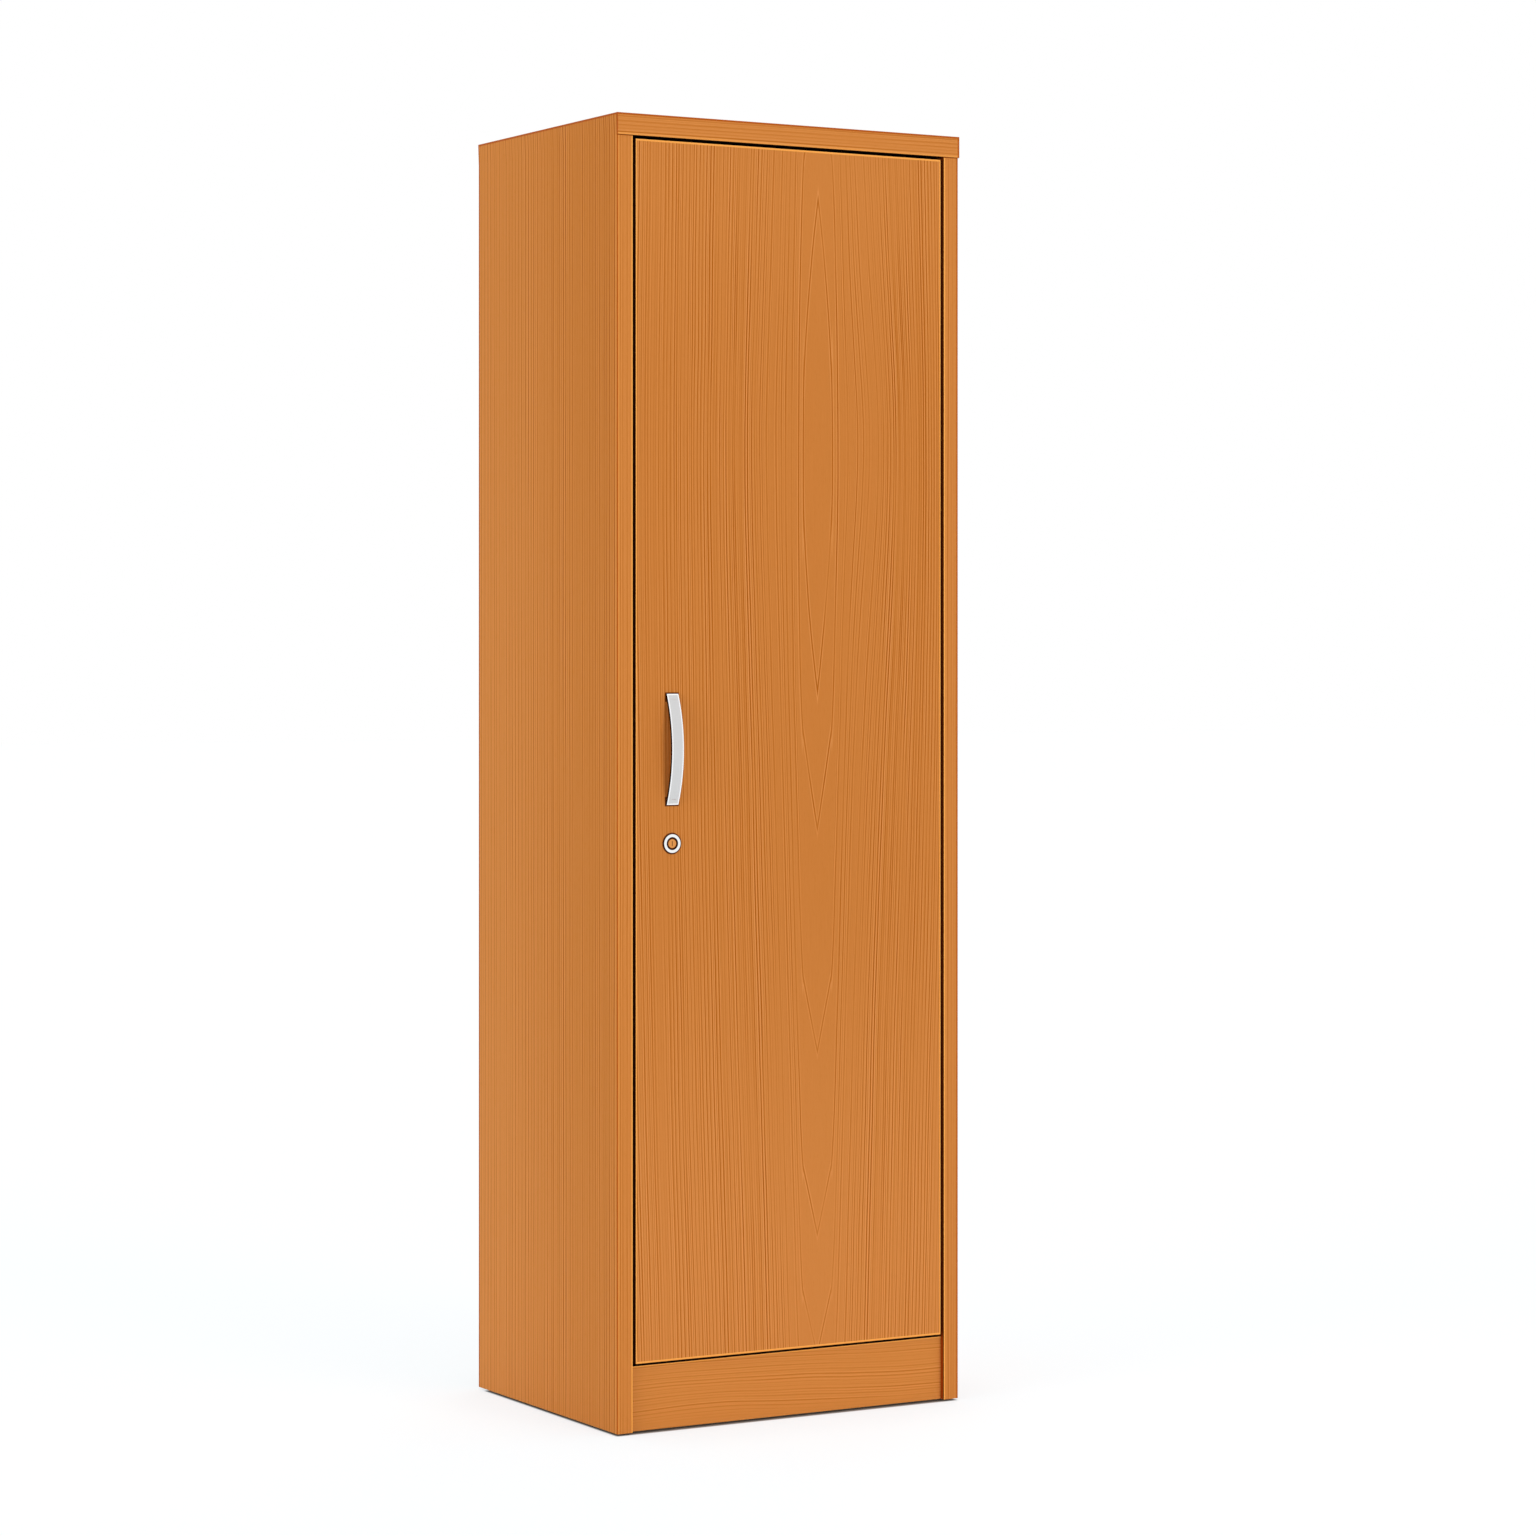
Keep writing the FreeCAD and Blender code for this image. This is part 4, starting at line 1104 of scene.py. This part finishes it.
begin(
    bpy.ops.mesh.primitive_cylinder_add, vertices=round_sides, radius=head_radius, depth=head_tall,
    location=(lock_middle.x, plug_face + head_tall / 2, lock_middle.z), rotation=(math.pi / 2, 0, 0),
)
choose("faces", flat_face(Y, 1, plug_face + head_tall, lock_middle, head_radius))
bpy.ops.mesh.inset(thickness=head_radius - core_radius)
core_end = plug_high.y - drive_tall
extrude((0, core_end - plug_face - head_tall, 0))
score(flat_face(Y, 1, core_end, lock_middle, core_radius), lock_middle, drive)
print("drive faces:", choose("faces", field(Y, core_end, lock_middle, drive)))
extrude((0, drive_tall, 0))
choose("faces", flat_face(Y, -1, plug_face, lock_middle, head_radius))
bpy.ops.mesh.inset(thickness=face_rim)
score(flat_face(Y, -1, plug_face, lock_middle, head_radius - face_rim), lock_middle, keyway)
print("keyway faces:", choose("faces", field(Y, plug_face, lock_middle, keyway)))
extrude((0, keyway_deep, 0))
choose("edges", rim(Y, plug_face, lock_middle, head_radius))
bevel(head_bevel, segments=3)
plug = finished("lock_plug_core")

# %% [markdown]
# The plug is bare brass, turned on a lathe, so fine circles run round its face. It is darker in the keyway,
# and its rim, where it meets the ring, is painted dark as shade.

# %% Plug finish
turning_rate = 6000.0
turning_seed = 7.0
rim_shade_start = 0.00578
rim_shade_full = 0.00632
brass_material, finish = new_material("lock_brass")
point = finish.place()
radius = lock_radius(point)
turning = finish.noise(radius * turning_rate, 0.0, turning_seed)
# Darker deeper in the keyway, and painted shade at the plug's rim.
deep = point[Y].ramp(plug_face + face_rim / 2, plug_face + head_tall)
rim_shade = radius.ramp(rim_shade_start, rim_shade_full)
brass = finish.mix(turning, tone(216, 136, 68), tone(238, 166, 92))
keyway_darker = finish.mix(deep, brass, tone(190, 126, 68))
finish.surface(
    Base_Color=finish.mix(rim_shade, keyway_darker, tone(74, 28, 8)), Metallic=1.0, Roughness=turning.between(0.24, 0.36),
)
fit_out(plug, brass_material, "lock_cylinder", "lock_plug")
print("plug finished")

# %% [markdown]
# The screws are plated, with a domed head and a cross recess. The CAD node of a group holds plain ones, and
# its points tell where each sits: they are gathered into one heap per screw, and a heap's extent gives the
# screw's length, the radius and height of its head, and the radius of its shank.

# %% Seats of the screws
screws_apart = 0.010
head_rim_share = 0.9


def heaps(node, axis):
    """The points of a node in one heap for each line along the axis that they stand round."""
    found = []
    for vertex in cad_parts[node].data.vertices:
        for heap in found:
            offset = vertex.co - heap[0]
            offset[axis] = 0
            if offset.length < screws_apart:
                heap.append(vertex.co.copy())
                break
        else:
            found.append([vertex.co.copy()])
    return found


def measured(heap, axis, way):
    """The middle of the head's outer face, and the sizes of the screw that a heap stands for."""
    low = Vector([min(point[side] for point in heap) for side in (X, Y, Z)])
    high = Vector([max(point[side] for point in heap) for side in (X, Y, Z)])
    seat = (low + high) / 2
    seat[axis] = low[axis] if way > 0 else high[axis]
    reach = []
    for point in heap:
        offset = point - seat
        deep = abs(offset[axis])
        offset[axis] = 0
        reach.append((offset.length, deep))
    head = max(wide for wide, deep in reach)
    head_tall = max(deep for wide, deep in reach if wide > head * head_rim_share)
    shank = max(wide for wide, deep in reach if deep > head_tall + near)
    return seat, {"head": head, "head_tall": head_tall, "shank": shank, "long": high[axis] - low[axis]}


screws = {
    "hinge_cup_screws": (Y, -1, "door"), "back_panel_screws": (Y, -1, "carcass"),
    "handle_screws": (Y, -1, "door"), "lock_cam_screw": (Y, -1, "lock_cylinder"),
    "rail_bracket_screws": (Z, 1, "carcass"), "hinge_plate_screws": (X, 1, "carcass"),
    "hinge_arm_screws": (X, 1, "carcass"), "strike_screws": (X, -1, "carcass"),
}
seats = {}
for node, (axis, way, body) in screws.items():
    seats[node] = [measured(heap, axis, way) for heap in heaps(node, axis)]
    sizes = {name: round(size * 1000, 2) for name, size in seats[node][0][1].items()}
    print(node, len(seats[node]), "screws, in mm", sizes)

# %% [markdown]
# One screw of each group is modelled at the origin, head up. A cylinder's rim is bevelled to a dome, its top
# is inset to a small disc, and planes cut the disc so that a cross can be pushed in and narrowed. Below, the
# shank is drawn out of the head's underside, and its end is drawn in to a tip. Each copy is turned to its
# seat, and about its own axis by another angle, because no two screws stop alike.

# %% Screws
screw_sides = 48
dome_share = 0.6
disc_share = 0.95
arm_share = 0.14
recess_share = 0.6
recess_taper = 0.55
tip_share = 1.5
tip_taper = 0.4
first_stop = 20
stop_step = 37


def model_screw(head, head_tall, shank, long):
    """A screw with its head's top at the origin and its tip below."""
    origin = (0, 0, 0)
    dome = head_tall * dome_share
    disc = (head - dome) * disc_share
    arm = head * arm_share
    tip = shank * tip_share
    begin(
        bpy.ops.mesh.primitive_cylinder_add, vertices=screw_sides, radius=head, depth=head_tall,
        location=(0, 0, -head_tall / 2),
    )
    choose("edges", rim(Z, 0, origin, head))
    bevel(dome, segments=5)
    choose("faces", flat_face(Z, 1, 0, origin, head - dome))
    bpy.ops.mesh.inset(thickness=head - dome - disc)
    score(flat_face(Z, 1, 0, origin, disc), origin, {X: arm, Y: arm})
    upright = field(Z, 0, origin, {X: arm, Y: disc})
    level = field(Z, 0, origin, {X: disc, Y: arm})
    choose("faces", lambda face: upright(face) or level(face))
    extrude((0, 0, -head_tall * recess_share))
    bpy.ops.transform.resize(value=(recess_taper, recess_taper, 1), center_override=origin)
    choose("faces", flat_face(Z, -1, -head_tall, origin, head))
    bpy.ops.mesh.inset(thickness=head - shank)
    extrude((0, 0, -(long - head_tall - tip)))
    extrude((0, 0, -tip))
    bpy.ops.transform.resize(value=(tip_taper, tip_taper, 1), center_override=origin)
    return finished("screw")


for node, (axis, way, body) in screws.items():
    model = model_screw(**seats[node][0][1])
    inwards = Vector((0, 0, 0))
    inwards[axis] = way
    turn = Vector((0, 0, -1)).rotation_difference(inwards)
    for number, (seat, sizes) in enumerate(seats[node]):
        select_only(model)
        bpy.ops.object.duplicate()
        screw = bpy.context.object
        screw.name = screw.data.name = f"{node}_{number + 1}"
        stop = Quaternion((0, 0, 1), math.radians(first_stop + stop_step * number))
        screw.rotation_euler = (turn @ stop).to_euler()
        screw.location = seat
        bpy.ops.object.transform_apply(location=True, rotation=True, scale=True)
        fit_out(screw, plated_screw, body, node)
    bpy.data.objects.remove(model)
print(sum(len(found) for found in seats.values()), "screws in place")
